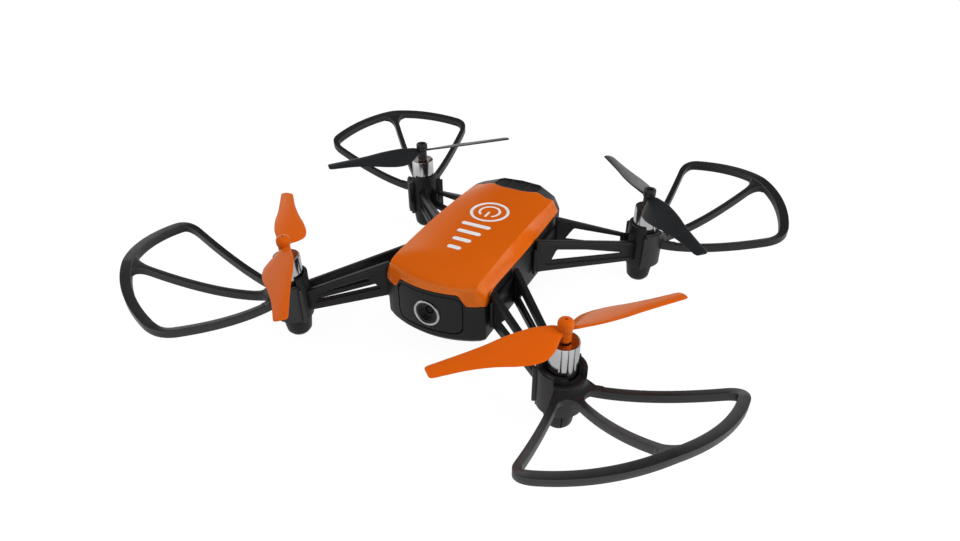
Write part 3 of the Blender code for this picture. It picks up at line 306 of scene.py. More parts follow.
# %% Metal, glass, light pipes and electronics
def metal(name, colour, gloss, streak_mm, streak_depth_mm, stretch=(1.0, 1.0, 0.05)):
    """Drawn or plated metal: fine streaks along the draw direction, in the gloss and in a faint bump."""
    finish, tree, shader, place = new_finish(name)
    drawn = add(tree, "ShaderNodeMapping", {"Vector": place, "Scale": stretch})
    streak = add(tree, "ShaderNodeTexNoise", {"Vector": drawn.outputs[0], "Scale": 1.0 / (streak_mm * MM),
                                              "Detail": 3.0})
    rough = add(tree, "ShaderNodeMapRange", {"Value": streak.outputs["Fac"], "From Min": 0.3, "From Max": 0.7,
                                             "To Min": gloss * 0.8, "To Max": gloss * 1.25})
    tree.links.new(rough.outputs[0], shader["Roughness"])
    bump = add(tree, "ShaderNodeBump", {"Height": streak.outputs["Fac"], "Strength": 0.5,
                                        "Distance": streak_depth_mm * MM})
    tree.links.new(bump.outputs[0], shader["Normal"])
    shader["Base Color"].default_value = linear(colour)
    shader["Metallic"].default_value = 1.0
    return finish


# Nickel-plated steel can: nearly a mirror, so the guard and the arms show in it as dark bands
PLATED_CAN = metal("nickel_plated_steel_drawn", "#F0F0F2", 0.14, 0.5, 0.0010)
# Pressed end plate of the motor, warmer and a little darker than the can
END_PLATE = metal("passivated_steel_pressed", "#CDBFB6", 0.16, 0.6, 0.0010, (1.0, 1.0, 1.0))
# Bright trim round the lens
LENS_TRIM = metal("bright_aluminium_turned", "#E2E2E2", 0.34, 0.4, 0.0003, (1.0, 0.1, 1.0))
# Ground steel shaft
GROUND_STEEL = metal("ground_steel", "#9A9A9C", 0.25, 0.3, 0.0010)


COAT_ROUGHNESS = 0.04


def clear_part(name, pale, deep, gloss, cloud_mm=4.0, coat=0.0):
    """Glass or acrylic with a slow cloud in its colour and a clear coat over it."""
    finish, tree, shader, place = new_finish(name)
    cloud = add(tree, "ShaderNodeTexNoise", {"Vector": place, "Scale": 1.0 / (cloud_mm * MM), "Detail": 2.0})
    tint = add(tree, "ShaderNodeMix", {0: cloud.outputs["Fac"], 6: linear(deep), 7: linear(pale)},
               data_type="RGBA")
    tree.links.new(tint.outputs[2], shader["Base Color"])
    rough = add(tree, "ShaderNodeMapRange", {"Value": cloud.outputs["Fac"], "To Min": gloss * 0.8,
                                             "To Max": gloss * 1.2})
    tree.links.new(rough.outputs[0], shader["Roughness"])
    shader["Coat Weight"].default_value = coat
    shader["Coat Roughness"].default_value = COAT_ROUGHNESS
    return finish


# Clouded acrylic light pipes, pale grey when unlit
LIGHT_PIPE = clear_part("clouded_acrylic_moulded", "#D7D7D8", "#CBCDCE", 0.32)
# Front lens with a dark bluish coating that takes most of the glare away
LENS_GLASS = clear_part("coated_glass_polished", "#070B14", "#020306", 0.03, 1.0, 0.2)
shader_of(LENS_GLASS)["Specular IOR Level"].default_value = 0.15
# Matt black anodised barrel that swallows stray light
LENS_BLACK = moulded("black_anodised_turned", "#131314", "#0D0D0E", 0.40, 0.25, 0.004)
# Circuit board: green solder mask with a bump about as wide as the copper tracks under it
SOLDER_MASK = moulded("green_solder_mask_cured", "#12502F", "#0B3A22", 0.35, 1.0, 0.020)
# Battery in shrunk film, smooth and a little wavy
SHRINK_FILM = moulded("grey_film_shrunk", "#4A4D52", "#3A3D42", 0.14, 2.5, 0.060)

INSIDE_FINISHES = {"battery_pack": SHRINK_FILM, "flight_board": SOLDER_MASK, "camera_module": LENS_BLACK}
for node, finish in INSIDE_FINISHES.items():
    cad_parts[node].material_slots[0].material = finish
print("finishes:", len(bpy.data.materials))

# %% [markdown]
# ## From formula to piece
# Every new surface here is a grid: rows and columns of points worked out by numpy in one go, then joined by
# quads. A closed side joins the last row to the first. A piece may be made of several grids that meet along
# the same points; welding makes them one skin, and only then are the faces turned outwards.

# %% Grid helper and piece maker
WELD_DISTANCE = 0.004


def grid_faces(rows, cols, close_rows, close_cols):
    """Quads of a grid of points numbered row by row; a closed side runs on into its first line."""
    i, j = np.meshgrid(np.arange(rows - (not close_rows)), np.arange(cols - (not close_cols)), indexing="ij")
    below = (i + 1) % rows * cols
    right = (j + 1) % cols
    return np.stack([i * cols + j, i * cols + right, below + right, below + j], axis=-1).reshape(-1, 4)


def make_piece(name, sheets, finish, body, stands_for=(), crease=32.0, outward=None):
    """One piece from grids in millimetres, each with its two closed flags: welded, faced outwards, smooth
    between creases. An open skin also needs the direction in which its faces look."""
    points = np.concatenate([np.asarray(grid, float).reshape(-1, 3) for grid, _, _ in sheets])
    faces = []
    first = 0
    for grid, close_rows, close_cols in sheets:
        rows, cols = np.shape(grid)[:2]
        faces.append(grid_faces(rows, cols, close_rows, close_cols) + first)
        first += rows * cols
    mesh = bpy.data.meshes.new(name)
    mesh.from_pydata((points * MM).tolist(), [], np.concatenate(faces).tolist())
    skin = bmesh.new()
    skin.from_mesh(mesh)
    bmesh.ops.remove_doubles(skin, verts=skin.verts, dist=WELD_DISTANCE * MM)
    bmesh.ops.recalc_face_normals(skin, faces=skin.faces)
    if outward and sum((f.normal * f.calc_area() for f in skin.faces), Vector()).dot(outward) < 0:
        bmesh.ops.reverse_faces(skin, faces=skin.faces)
    skin.to_mesh(mesh)
    skin.free()
    mesh.materials.append(finish)
    mesh.shade_smooth()
    mesh.set_sharp_from_angle(angle=math.radians(crease))
    piece = bpy.data.objects.new(name, mesh)
    bpy.context.scene.collection.objects.link(piece)
    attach(piece, body)
    if stands_for:
        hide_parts(*stands_for)
    return piece


def turned(profile, steps=72):
    """Lathe: each (radius, height) of a profile becomes a ring of points round the Z axis."""
    profile = np.asarray(profile, float)
    turn = np.linspace(0.0, 2.0 * np.pi, steps, endpoint=False)
    ring = np.stack([np.cos(turn), np.sin(turn), np.ones(steps)], axis=-1)
    return profile[:, None, [0, 0, 1]] * ring


def soft_corners(corners, radius, steps=6, side=6):
    """Closed outline through 2-D corners, each cut back by a radius and bridged by a parabola. Its straight
    sides are split evenly, so that outlines of the same corner count match point for point."""
    corners = np.asarray(corners, float)
    before = np.roll(corners, 1, axis=0) - corners
    after = np.roll(corners, -1, axis=0) - corners
    length = np.minimum(np.linalg.norm(before, axis=1), np.linalg.norm(after, axis=1))
    reach = np.minimum(radius, length / 2.1)[:, None]
    start = corners + before / np.linalg.norm(before, axis=1)[:, None] * reach
    end = corners + after / np.linalg.norm(after, axis=1)[:, None] * reach
    t = np.linspace(0.0, 1.0, steps + 1)[None, :, None]
    bend = (1 - t) ** 2 * start[:, None] + 2 * t * (1 - t) * corners[:, None] + t ** 2 * end[:, None]
    s = np.linspace(0.0, 1.0, side + 1)[None, 1:-1, None]
    run = end[:, None] + (np.roll(start, -1, axis=0) - end)[:, None] * s
    return np.concatenate([bend, run], axis=1).reshape(-1, 2)


def carried(path, section, width=1.0, height=1.0, shift=0.0, lean=0.0):
    """Upright section of (across, up) carried along a path, scaled on the way, shifted sideways and leaning
    down towards its left, with both ends drawn to a point."""
    path = np.asarray(path, float)
    changes = (width, height, shift, lean)
    width, height, shift, lean = (np.broadcast_to(change, len(path))[:, None] for change in changes)
    ahead = np.gradient(path[:, :2], axis=0)
    ahead /= np.linalg.norm(ahead, axis=1)[:, None]
    side = np.stack([-ahead[:, 1], ahead[:, 0], np.zeros(len(path))], axis=1)
    section = np.asarray(section, float)
    across = section[None, :, 0] * width + shift
    up = section[None, :, 1] * height - lean * (section[None, :, 0] + 0.5) * width
    loops = path[:, None] + across[..., None] * side[:, None] + up[..., None] * UP
    return with_ends(loops)


def with_ends(loops):
    """Loops closed at both ends: one more row each, drawn to the middle of the end's own loop."""
    ends = np.repeat(loops[[0, -1]].mean(axis=1, keepdims=True), loops.shape[1], axis=1)
    return np.concatenate([ends[:1], loops, ends[1:]])


def turned_by(points, angle):
    """Points turned round Z."""
    x = points[..., 0] * math.cos(angle) - points[..., 1] * math.sin(angle)
    y = points[..., 0] * math.sin(angle) + points[..., 1] * math.cos(angle)
    return np.stack([x, y, points[..., 2]], axis=-1)


print("helpers ready: grids, lathe, soft corners, carried sections")

# %% [markdown]
# ## Orange top shell
# The cover is one moulding: a nearly flat deck, crisp crown edges, steep sides and a nose that rolls over
# into a short front band with a notch for the camera. Four lines run along it: the spine, the crown edge,
# the side crease and the lower edge. The skin is stretched between them, so the whole shape is set by a few
# measured rows.

# %% Lines of the shell
BODY_HALF_WIDTH = 17.5
BODY_TOP_Z = 31.8
BODY_TOP_SLOPE = 0.008
CROWN_INSET = 2.1
CROWN_Z = 31.45
CROWN_BOW = 0.0014
CROWN_PEAK_Y = 2.0
EDGE_Z = 25.6
EDGE_BOW = 0.0009
SIDE_CREASE_SHARE = 0.7
SHELL_REAR_Y = 29.6
# Rear edge of the shell: distance from the middle and how far the edge runs back there
REAR_EDGE = np.array([(0.0, -1.3), (4.4, -1.25), (7.0, -0.35), (8.9, 0.5), (10.4, 0.15), (12.4, -0.75),
                      (15.4, -0.3), (17.5, -0.2)])
SCOOP_FADE = 9.0
FRONT_Y = -34.4
FACET_X = 14.7
FACET_Y = -30.9
NOTCH_HALF_WIDTH = 9.6
NOTCH_CORNER = 3.2
NOTCH_START_Z = 30.0
KEY_Y = 9.1
LIGHT_FIRST_Y = -1.2
LIGHT_PITCH = 5.05
LIGHT_LENGTHS = (10.6, 8.6, 6.6, 4.8)
LIGHT_THICKNESS = 1.9
CROWN_X = BODY_HALF_WIDTH - CROWN_INSET

# Nose rows from the deck down to the front band, each the spine, crown edge, side crease and lower edge
NOSE_ROWS = np.array([
    [(0.0, -27.0, 31.1), (15.3, -26.0, 30.42), (16.95, -24.5, 27.2), (17.5, -22.8, 25.85)],
    [(0.0, -31.0, 30.2), (15.2, -29.3, 29.8), (17.1, -27.2, 26.9), (17.5, -24.3, 25.6)],
    [(0.0, -33.0, 29.4), (15.05, -30.5, 28.9), (17.3, -28.1, 26.3), (17.5, -25.2, 25.0)],
    [(0.0, -33.75, 27.95), (14.85, -30.8, 25.7), (17.4, -28.9, 24.6), (17.5, -26.6, 23.5)],
    [(0.0, -34.4, 26.5), (14.7, -30.9, 22.5), (17.5, -29.2, 22.5), (17.5, -27.4, 22.5)],
])


def deck_rows(y):
    """The four lines of the shell at stations behind the nose, one row for each y."""
    y = np.asarray(y, float)
    spine = np.stack([0 * y, y, BODY_TOP_Z + BODY_TOP_SLOPE * y], axis=-1)
    crown = np.stack([0 * y + CROWN_X, y, CROWN_Z - CROWN_BOW * (y - CROWN_PEAK_Y) ** 2], axis=-1)
    edge = np.stack([0 * y + BODY_HALF_WIDTH, y, EDGE_Z + EDGE_BOW * y * y], axis=-1)
    return np.stack([spine, crown, crown + (edge - crown) * SIDE_CREASE_SHARE, edge], axis=1)


def deck_z(x, y):
    """Height of the flat deck: the spine, falling with the cube of the distance towards the crown edge."""
    spine = BODY_TOP_Z + BODY_TOP_SLOPE * y
    crown = CROWN_Z - CROWN_BOW * (y - CROWN_PEAK_Y) ** 2
    return spine - (spine - crown) * (np.abs(x) / CROWN_X) ** 3


def front_y(x):
    """Plan curve of the nose between its facets."""
    return FRONT_Y + (FACET_Y - FRONT_Y) * (np.abs(x) / FACET_X) ** 2


def through(keys, count, s=None):
    """Smooth rows through key rows: cubic between them, each key's slope taken from its two neighbours.
    The keys stand at s, or else as far apart as their points."""
    keys = np.asarray(keys, float)
    if s is None:
        step = np.linalg.norm(np.diff(keys, axis=0), axis=-1).reshape(len(keys) - 1, -1).mean(axis=1)
        s = np.concatenate([[0.0], np.cumsum(step)])
    step = np.diff(s)
    slope = np.gradient(keys, s, axis=0)
    at = np.linspace(s[0], s[-1], count)
    i = np.clip(np.searchsorted(s, at, side="right") - 1, 0, len(s) - 2)
    t = ((at - s[i]) / step[i]).reshape((-1,) + (1,) * (keys.ndim - 1))
    h = step[i].reshape(t.shape)
    return ((1 + 2 * t) * (1 - t) ** 2 * keys[i] + t * (1 - t) ** 2 * h * slope[i]
            + t * t * (3 - 2 * t) * keys[i + 1] + t * t * (t - 1) * h * slope[i + 1])


def rear_edge(x):
    """How far the rear edge of the shell runs back at a distance from the middle."""
    out, back = through(REAR_EDGE, 90, REAR_EDGE[:, 0]).T
    return np.interp(np.abs(x), out, back)


def eased(grid, axis, reach, from_index, to_index):
    """Round off the bends of a grid between two lines with a bell-shaped running mean, reach lines wide."""
    bell = np.hanning(2 * reach + 3)[1:-1]
    bell /= bell.sum()
    pad = [(0, 0)] * grid.ndim
    pad[axis] = (reach, reach)
    wide = np.pad(grid, pad, mode="reflect", reflect_type="odd")
    mean = sum(w * np.take(wide, np.arange(k, k + grid.shape[axis]), axis=axis) for k, w in enumerate(bell))
    index = np.arange(grid.shape[axis])
    keep = ((index >= from_index) & (index < to_index)).astype(float)
    shape = [1] * grid.ndim
    shape[axis] = -1
    keep = keep.reshape(shape)
    return grid + (mean - grid) * keep


print("shell lines run from", SHELL_REAR_Y, "mm at the rear to", FRONT_Y, "mm at the nose")

# %% Skin of the shell on one half, then mirrored
HOLE_SPAN = 9.0
KEY_PANEL_REAR_Y = 18.1
PANEL_ENDS = [KEY_PANEL_REAR_Y]
PANEL_ENDS += [LIGHT_FIRST_Y + LIGHT_PITCH * (0.5 - n) for n in range(len(LIGHT_LENGTHS) + 1)]
PANEL_STEPS = (34, 12, 12, 12, 12)
REAR_STEPS = 24
NOSE_STEPS = 48
NOSE_LEAD = 1.5
CREASE_EASE = 2
NOSE_EASE = 5
NOSE_EASE_START = 14

stations = [np.linspace(SHELL_REAR_Y, PANEL_ENDS[0], REAR_STEPS, endpoint=False)]
stations += [np.linspace(a, b, n, endpoint=False) for a, b, n in zip(PANEL_ENDS, PANEL_ENDS[1:], PANEL_STEPS)]
stations = np.concatenate(stations)
nose_start = deck_rows([PANEL_ENDS[-1], PANEL_ENDS[-1] - NOSE_LEAD])
nose = through(np.concatenate([nose_start, NOSE_ROWS]), NOSE_STEPS)
lines = np.concatenate([deck_rows(stations), nose])
notch_depth = NOTCH_START_Z - NOSE_ROWS[-1, 0, 2]
notch_share = np.clip((NOTCH_START_Z - lines[:, 0, 2]) / notch_depth, 0.0, 1.0)

inner_columns = np.linspace(0.0, HOLE_SPAN, 19)
share = np.concatenate([inner_columns, np.linspace(HOLE_SPAN, CROWN_X, 19)[1:]]) / CROWN_X
spine, crown, crease_line, edge_line = (lines[:, k][:, None] for k in range(4))
x = share[None, :] * crown[..., 0]
notch = np.clip((x - NOTCH_HALF_WIDTH) / NOTCH_CORNER, 0.0, 1.0)
drop = (1 - notch_share[:, None]) * share ** 3 + notch_share[:, None] * notch * notch * (3 - 2 * notch)
y = spine[..., 1] + (crown[..., 1] - spine[..., 1]) * share ** 2
z = spine[..., 2] + (crown[..., 2] - spine[..., 2]) * drop
deck = np.stack([x, y, z], axis=-1)
side_a = crown + (crease_line - crown) * np.linspace(0.0, 1.0, 10)[None, 1:, None]
side_b = crease_line + (edge_line - crease_line) * np.linspace(0.0, 1.0, 7)[None, 1:, None]
half = np.concatenate([deck, side_a, side_b], axis=1)

half = eased(half, 1, CREASE_EASE, deck.shape[1] + CREASE_EASE, half.shape[1] - 1)
half = eased(half, 0, NOSE_EASE, len(stations) + NOSE_EASE_START, len(half) - 1)
fade = np.clip(1 - (SHELL_REAR_Y - half[..., 1]) / SCOOP_FADE, 0.0, 1.0) ** 2
half[..., 1] += rear_edge(half[..., 0]) * fade
shell_skin = np.concatenate([half[:, :0:-1] * (-1, 1, 1), half], axis=1)
print("shell skin:", shell_skin.shape[0], "rows of", shell_skin.shape[1], "points")

# %% [markdown]
# Five holes pass through the deck: a round well for the key and four slots for the charge lights. Each sits
# in a panel of the grid. Inside a panel the points run from the hole's outline out to the panel's border,
# like spokes, so the grid stays whole and the rim of the hole is a clean line.

# %% Panels round the holes
WELL_RADIUS = 6.9
SLOT_GAP = 0.06
SHELL_WALL = 1.2
SHELL_RIM_SOFTNESS = 0.12
SHELL_RIM_ANGLE = 60.0


def on_deck(flat, depth):
    """Points of the plan, each lowered from the deck by a depth."""
    return np.concatenate([flat, (deck_z(flat[..., 0], flat[..., 1]) - depth)[..., None]], axis=-1)


def slot_outline(reach, radius, steps=48):
    """Round-ended slot: two half circles joined by straight sides."""
    turn = np.linspace(0.0, 2.0 * np.pi, steps, endpoint=False)
    ends = np.where(np.cos(turn) >= 0, reach, -reach)
    return np.stack([ends + radius * np.cos(turn), radius * np.sin(turn)], axis=-1)


def spokes_to(border, outline, centre, steps):
    """Grid from an outline out to a border; each border point meets the outline on its way to the centre."""
    centre = np.asarray(centre, float)
    ahead = np.roll(outline, -1, axis=0) - outline
    fine = np.concatenate([outline + ahead * t for t in np.linspace(0.0, 1.0, 12, endpoint=False)])
    seen = fine - centre
    angle = np.arctan2(seen[:, 1], seen[:, 0])
    order = np.argsort(angle)
    away = border - centre
    turn = np.arctan2(away[:, 1], away[:, 0])
    radius = np.interp(turn, angle[order], np.linalg.norm(seen, axis=1)[order], period=2 * np.pi)
    start = centre + radius[:, None] * np.stack([np.cos(turn), np.sin(turn)], axis=-1)
    t = np.linspace(0.0, 1.0, steps + 1)[:, None, None]
    return start + (border - start) * t


def border_of(block):
    """Points round the edge of a block of a grid, in order."""
    return np.concatenate([block[0, :-1], block[:-1, -1], block[-1, :0:-1], block[:0:-1, 0]])


middle = half.shape[1] - 1
span = len(inner_columns) - 1
row = REAR_STEPS
sheets = [(shell_skin[:row + 1], False, False)]
holes = [((0.0, KEY_Y), WELL_RADIUS * turned([(1.0, 0.0)], 96)[0][:, :2] + (0.0, KEY_Y))]
for n, length in enumerate(LIGHT_LENGTHS):
    place = (0.0, LIGHT_FIRST_Y - LIGHT_PITCH * n)
    outline = slot_outline((length - LIGHT_THICKNESS) / 2, LIGHT_THICKNESS / 2 + SLOT_GAP)
    holes.append((place, outline + place))
for (centre, outline), rows in zip(holes, PANEL_STEPS):
    border = border_of(shell_skin[row:row + rows + 1, middle - span:middle + span + 1])
    flat = spokes_to(border[:, :2], outline, centre, 8)
    sheets.append((on_deck(flat, 0.0), False, True))
    row += rows
for columns in (slice(0, middle - span + 1), slice(middle + span, None)):
    sheets.append((shell_skin[REAR_STEPS:row + 1, columns], False, False))
sheets.append((shell_skin[row:], False, False))
top_shell = make_piece("top_shell_skin", sheets, ORANGE_SHELL, "airframe", ("top_shell",),
                       40.0, UP)
wall = top_shell.modifiers.new("wall", "SOLIDIFY")
wall.thickness = SHELL_WALL * MM
wall.offset = -1.0
soft = top_shell.modifiers.new("soft_rim", "BEVEL")
soft.width = SHELL_RIM_SOFTNESS * MM
soft.segments = 2
soft.limit_method = "ANGLE"
soft.angle_limit = math.radians(SHELL_RIM_ANGLE)
print("top shell:", len(top_shell.data.vertices), "points, holes:", len(holes))

# %% [markdown]
# ## Key, ring and charge lights
# The power key is orange like the shell and sits in a ring of clouded acrylic; a second piece of the same
# acrylic is set into it as the power sign. Four bars, shorter towards the nose, show the charge. All of
# them follow the deck's slight fall, so each is a set of rings or slots dropped from the deck's own height.

# %% Key, ring, power sign and bars
KEY_RADIUS = 5.74
RING_INNER = 5.80
RING_OUTER = 6.84


def dished(profile, steps=96):
    """Rings round the key's axis, each (radius, depth under the deck)."""
    profile = np.asarray(profile, float)
    flat = turned(np.stack([profile[:, 0], 0 * profile[:, 0]], axis=-1), steps)[..., :2] + (0.0, KEY_Y)
    return on_deck(flat, profile[:, 1][:, None])


key_profile = [(0.0, 0.0), (2.0, 0.0), (4.0, 0.0), (5.3, 0.0), (5.6, 0.02), (5.70, 0.07), (KEY_RADIUS, 0.16),
               (KEY_RADIUS, 2.4), (0.0, 2.4)]
make_piece("power_key_cap", [(dished(key_profile), False, True)], ORANGE_SHELL, "power_key",
           ("power_button",))
ring_profile = [(RING_INNER, 1.3), (RING_INNER, 0.1), (5.90, 0.0), (6.3, -0.03), (6.74, 0.0),
                (RING_OUTER, 0.1), (RING_OUTER, 1.3)]
make_piece("power_ring_pipe", [(dished(ring_profile), True, True)], LIGHT_PIPE, "airframe",
           ("power_light_ring",))


def inlay(path, half_width, centre):
    """Flat strip with round ends along a plan path, closed underneath, standing a hair above the deck."""
    path = np.asarray(path, float)
    gone = np.concatenate([[0.0], np.cumsum(np.linalg.norm(np.diff(path, axis=0), axis=1))])
    to_end = np.minimum(gone, gone[-1] - gone)
    half = half_width * np.sqrt(np.clip(1 - np.clip(1 - to_end / half_width, 0.0, 1.0) ** 2, 0.0, 1.0))
    ahead = np.gradient(path, axis=0)
    ahead /= np.linalg.norm(ahead, axis=1)[:, None]
    side = np.stack([-ahead[:, 1], ahead[:, 0]], axis=-1)
    across = np.array([-1.0, -0.95, -0.8, 0.0, 0.8, 0.95, 1.0, 1.0, -1.0])
    depth = np.array([0.05, 0.0, -0.03, -0.03, -0.03, 0.0, 0.05, 0.4, 0.4])
    flat = path[:, None] + side[:, None] * (across[None] * half[:, None])[..., None] + np.asarray(centre)
    return on_deck(flat, depth[None])


SIGN_RADIUS = 3.48
SIGN_HALF_WIDTH = 0.43
SIGN_GAP_ANGLE = 33.0
SIGN_BAR = (-0.15, -3.95)
turn = np.radians(np.linspace(-90.0 + SIGN_GAP_ANGLE, 270.0 - SIGN_GAP_ANGLE, 120))
arc = SIGN_RADIUS * np.stack([np.cos(turn), np.sin(turn)], axis=-1)
bar = np.stack([np.zeros(40), np.linspace(*SIGN_BAR, 40)], axis=-1)
sign = [(inlay(path, SIGN_HALF_WIDTH, (0.0, KEY_Y)), False, True) for path in (arc, bar)]
make_piece("power_sign_inlay", sign, LIGHT_PIPE, "power_key")

for n, length in enumerate(LIGHT_LENGTHS):
    reach = (length - LIGHT_THICKNESS) / 2
    radii = LIGHT_THICKNESS / 2 * np.array([0.0, 0.5, 0.8, 0.93, 1.0, 1.0, 0.0])
    depths = np.array([-0.05, -0.05, -0.045, -0.02, 0.06, 1.2, 1.2])
    flat = np.stack([slot_outline(reach, r, 64) for r in radii]) + (0.0, LIGHT_FIRST_Y - LIGHT_PITCH * n)
    make_piece(f"charge_light_{n + 1}_pipe", [(on_deck(flat, depths[:, None]), False, True)], LIGHT_PIPE,
               "airframe", (f"battery_light_{n + 1}",))
print("key, ring, sign and", len(LIGHT_LENGTHS), "bars follow the deck")

# %% [markdown]
# ## Hull and camera plate
# The lower half is a black tub whose wall follows the rim of the shell, straight down to a chamfer and a
# flat floor. In front it carries the camera plate: a rounded panel, flush with the nose, with a thin groove
# all round it. The groove is a real gap here: the wall of the hull has a hole a little larger than the
# plate.

# %% Hull
SHELL_GAP = 0.3
HULL_CHAMFER_Z = 10.2
HULL_FLOOR_Z = 7.8
HULL_CHAMFER_INSET = 2.0
PLATE_HALF_WIDTH = 11.2
PLATE_BOTTOM_Z = 11.9
PLATE_TOP_Z = 25.0
PLATE_CORNER = 3.4
PLATE_GAP = 0.28
HULL_SEAM_DEPTH = 0.8
HULL_LIP_DEPTH = 1.6
HULL_TONGUE_DEPTH = 4.0
HULL_END_SHARE = 0.9
NOSE_BACK_Y = -22.0
PANEL_MARGIN_X = 1.0
PANEL_MARGIN_Y = 1.2
# Rounded upper edge of the chamfer: inset and drop
CHAMFER_BEND = [(0.0, 0.0), (0.06, 0.22), (0.2, 0.5)]

rim_side = shell_skin[:, -1]
rim_front = shell_skin[-1, ::-1]
rim = np.concatenate([rim_side[:-1], rim_front[:-1], shell_skin[::-1, 0]])
rim[:, 2] -= SHELL_GAP


def drawn_in(loop, inset):
    """Plan of the tub drawn in by an inset: its sides move towards the middle and, ahead of NOSE_BACK_Y,
    its nose moves back, both in proportion, so that no corner can fold over itself."""
    result = loop.copy()
    result[:, 0] *= 1.0 - inset / BODY_HALF_WIDTH
    result[:, 1] += inset * np.clip((NOSE_BACK_Y - loop[:, 1]) / (NOSE_BACK_Y - FRONT_Y), 0.0, 1.0)
    return result


def at_height(loop, z):
    """The same plan at one height."""
    result = loop.copy()
    result[:, 2] = z
    return result


def plate_loop(inset, corner):
    """Rounded outline of the camera plate drawn in by an inset, as (x, z)."""
    w = PLATE_HALF_WIDTH - inset
    low = PLATE_BOTTOM_Z + inset
    high = PLATE_TOP_Z - inset
    return soft_corners([(-w, low), (w, low), (w, high), (-w, high)], corner - inset, 10, 12)


inside = drawn_in(rim, HULL_SEAM_DEPTH)
wall_rows = np.linspace(0.0, 1.0, 15)[:, None, None]
walls = rim + (at_height(rim, HULL_CHAMFER_Z) - rim) * wall_rows
on_front = (rim[:, 1] < FACET_Y + PANEL_MARGIN_Y) & (np.abs(rim[:, 0]) < FACET_X - PANEL_MARGIN_X)
plate_columns = np.flatnonzero(on_front)
left, right = plate_columns[0], plate_columns[-1]
border = border_of(walls[:, left:right + 1])
hole = plate_loop(-PLATE_GAP, PLATE_CORNER - PLATE_GAP)
flat = spokes_to(border[:, [0, 2]], hole, (0.0, (PLATE_BOTTOM_Z + PLATE_TOP_Z) / 2), 6)
front_panel = np.stack([flat[..., 0], front_y(flat[..., 0]), flat[..., 1]], axis=-1)
front_panel[-1] = border
lip = front_panel[:1] + (0.0, HULL_LIP_DEPTH, 0.0)
hull_sheets = [(walls[:, :left + 1], False, False), (walls[:, right:], False, False),
               (np.concatenate([lip, front_panel]), False, True)]

foot_line = at_height(rim, HULL_CHAMFER_Z)
bend = np.stack([at_height(drawn_in(foot_line, inset), HULL_CHAMFER_Z - drop)
                 for inset, drop in CHAMFER_BEND])
floor_line = at_height(drawn_in(foot_line, HULL_CHAMFER_INSET), HULL_FLOOR_Z)
low = np.stack([bend[-1] + (floor_line - bend[-1]) * t for t in (0.0, 0.5, 0.9, 1.0)])
middle_line = floor_line * (0.0, 1.0, 1.0)
floor_rows = np.stack([floor_line + (middle_line - floor_line) * t for t in (0.0, 0.06, 0.5, 1.0)])
seam_crest = rim + (inside - rim) * 0.5 + (0.0, 0.0, 0.02)
tongue = np.stack([rim, seam_crest, inside, inside - (0.0, 0.0, HULL_TONGUE_DEPTH)])
rear_ends = [np.stack([walls[:, k], walls[:, k] * (HULL_END_SHARE, 1.0, 1.0)]) for k in (0, -1)]
hull_sheets += [(rows, False, False) for rows in (bend, low, floor_rows, tongue, *rear_ends)]
make_piece("hull_tub", hull_sheets, BLACK_FRAME, "airframe", ("hull",), 28.0,
           (0.0, -0.4, -1.0))
print("hull wall:", walls.shape[1], "points round the rim")

# %% Camera plate
LENS_Z = 17.9
LENS_HOLE_RADIUS = 4.58
LENS_WELL_DEPTH = 1.8
# Rounded edge of the plate from its back to its face: inset and depth behind the face
PLATE_EDGE = [(0.0, 1.5), (0.0, 0.35), (0.04, 0.17), (0.14, 0.05), (0.32, 0.0)]
loops = []
for inset, depth in PLATE_EDGE:
    outline = plate_loop(inset, PLATE_CORNER)
    loops.append(np.concatenate([outline, np.full((len(outline), 1), depth)], axis=-1))
loops = np.stack(loops)
eye = LENS_HOLE_RADIUS * turned([(1.0, 0.0)], 96)[0][:, :2] + (0.0, LENS_Z)
face = spokes_to(loops[-1][:, :2], eye, (0.0, LENS_Z), 14)[::-1]
face = np.concatenate([face, np.zeros(face.shape[:2] + (1,))], axis=-1)
well = face[-1:] + (0.0, 0.0, LENS_WELL_DEPTH)
plate = np.concatenate([loops, face[1:], well])
plate = np.stack([plate[..., 0], front_y(plate[..., 0]) + plate[..., 2], plate[..., 1]], axis=-1)
make_piece("camera_plate", [(plate, False, True)], BLACK_FRAME, "airframe",
           ("camera_faceplate",), 40.0, (0.0, -1.0, 0.0))
print("camera plate:", 2 * PLATE_HALF_WIDTH, "mm wide, its lens hole", 2 * LENS_HOLE_RADIUS, "mm")

# %% [markdown]
# ## Lens
# A bright turned ring holds a black stepped barrel, and the small front glass sits at the bottom of it. The
# steps are what the eye reads as depth: dark rings, each catching a thin line of light on its edge.

# %% Lens ring, barrel and glass
GLASS_RADIUS = 1.3
GLASS_BACK = -2.04
GLASS_RIM = -1.95
GLASS_BULGE = 0.65


def looking_out(points):
    """Turn a lathe piece from standing on Z to looking out of the nose."""
    return np.stack([points[..., 0], FRONT_Y - points[..., 2], LENS_Z + points[..., 1]], axis=-1)


ring = [(3.66, -1.8), (3.66, 0.08), (3.74, 0.28), (3.92, 0.42), (4.14, 0.46), (4.36, 0.38), (4.5, 0.16),
        (4.5, -1.8)]
make_piece("lens_trim_ring", [(looking_out(turned(ring)), True, True)], LENS_TRIM, "airframe",
           ("lens_ring",))
barrel = [(3.62, -2.2), (3.62, -0.02), (3.5, 0.04), (3.05, 0.04), (2.95, -0.06), (2.95, -0.5), (2.86, -0.56),
          (2.50, -0.56), (2.42, -0.64), (2.42, -0.95), (2.34, -1.02), (1.98, -1.02), (1.90, -1.10),
          (1.90, -1.42), (1.60, -1.56), (1.60, -2.0), (1.34, -2.05), (0.0, -2.05), (0.0, -2.2)]
make_piece("lens_barrel_steps", [(looking_out(turned(barrel)), True, True)], LENS_BLACK, "airframe",
           ("lens_barrel",), 30.0)
rise = np.radians(np.linspace(0.0, 90.0, 12))
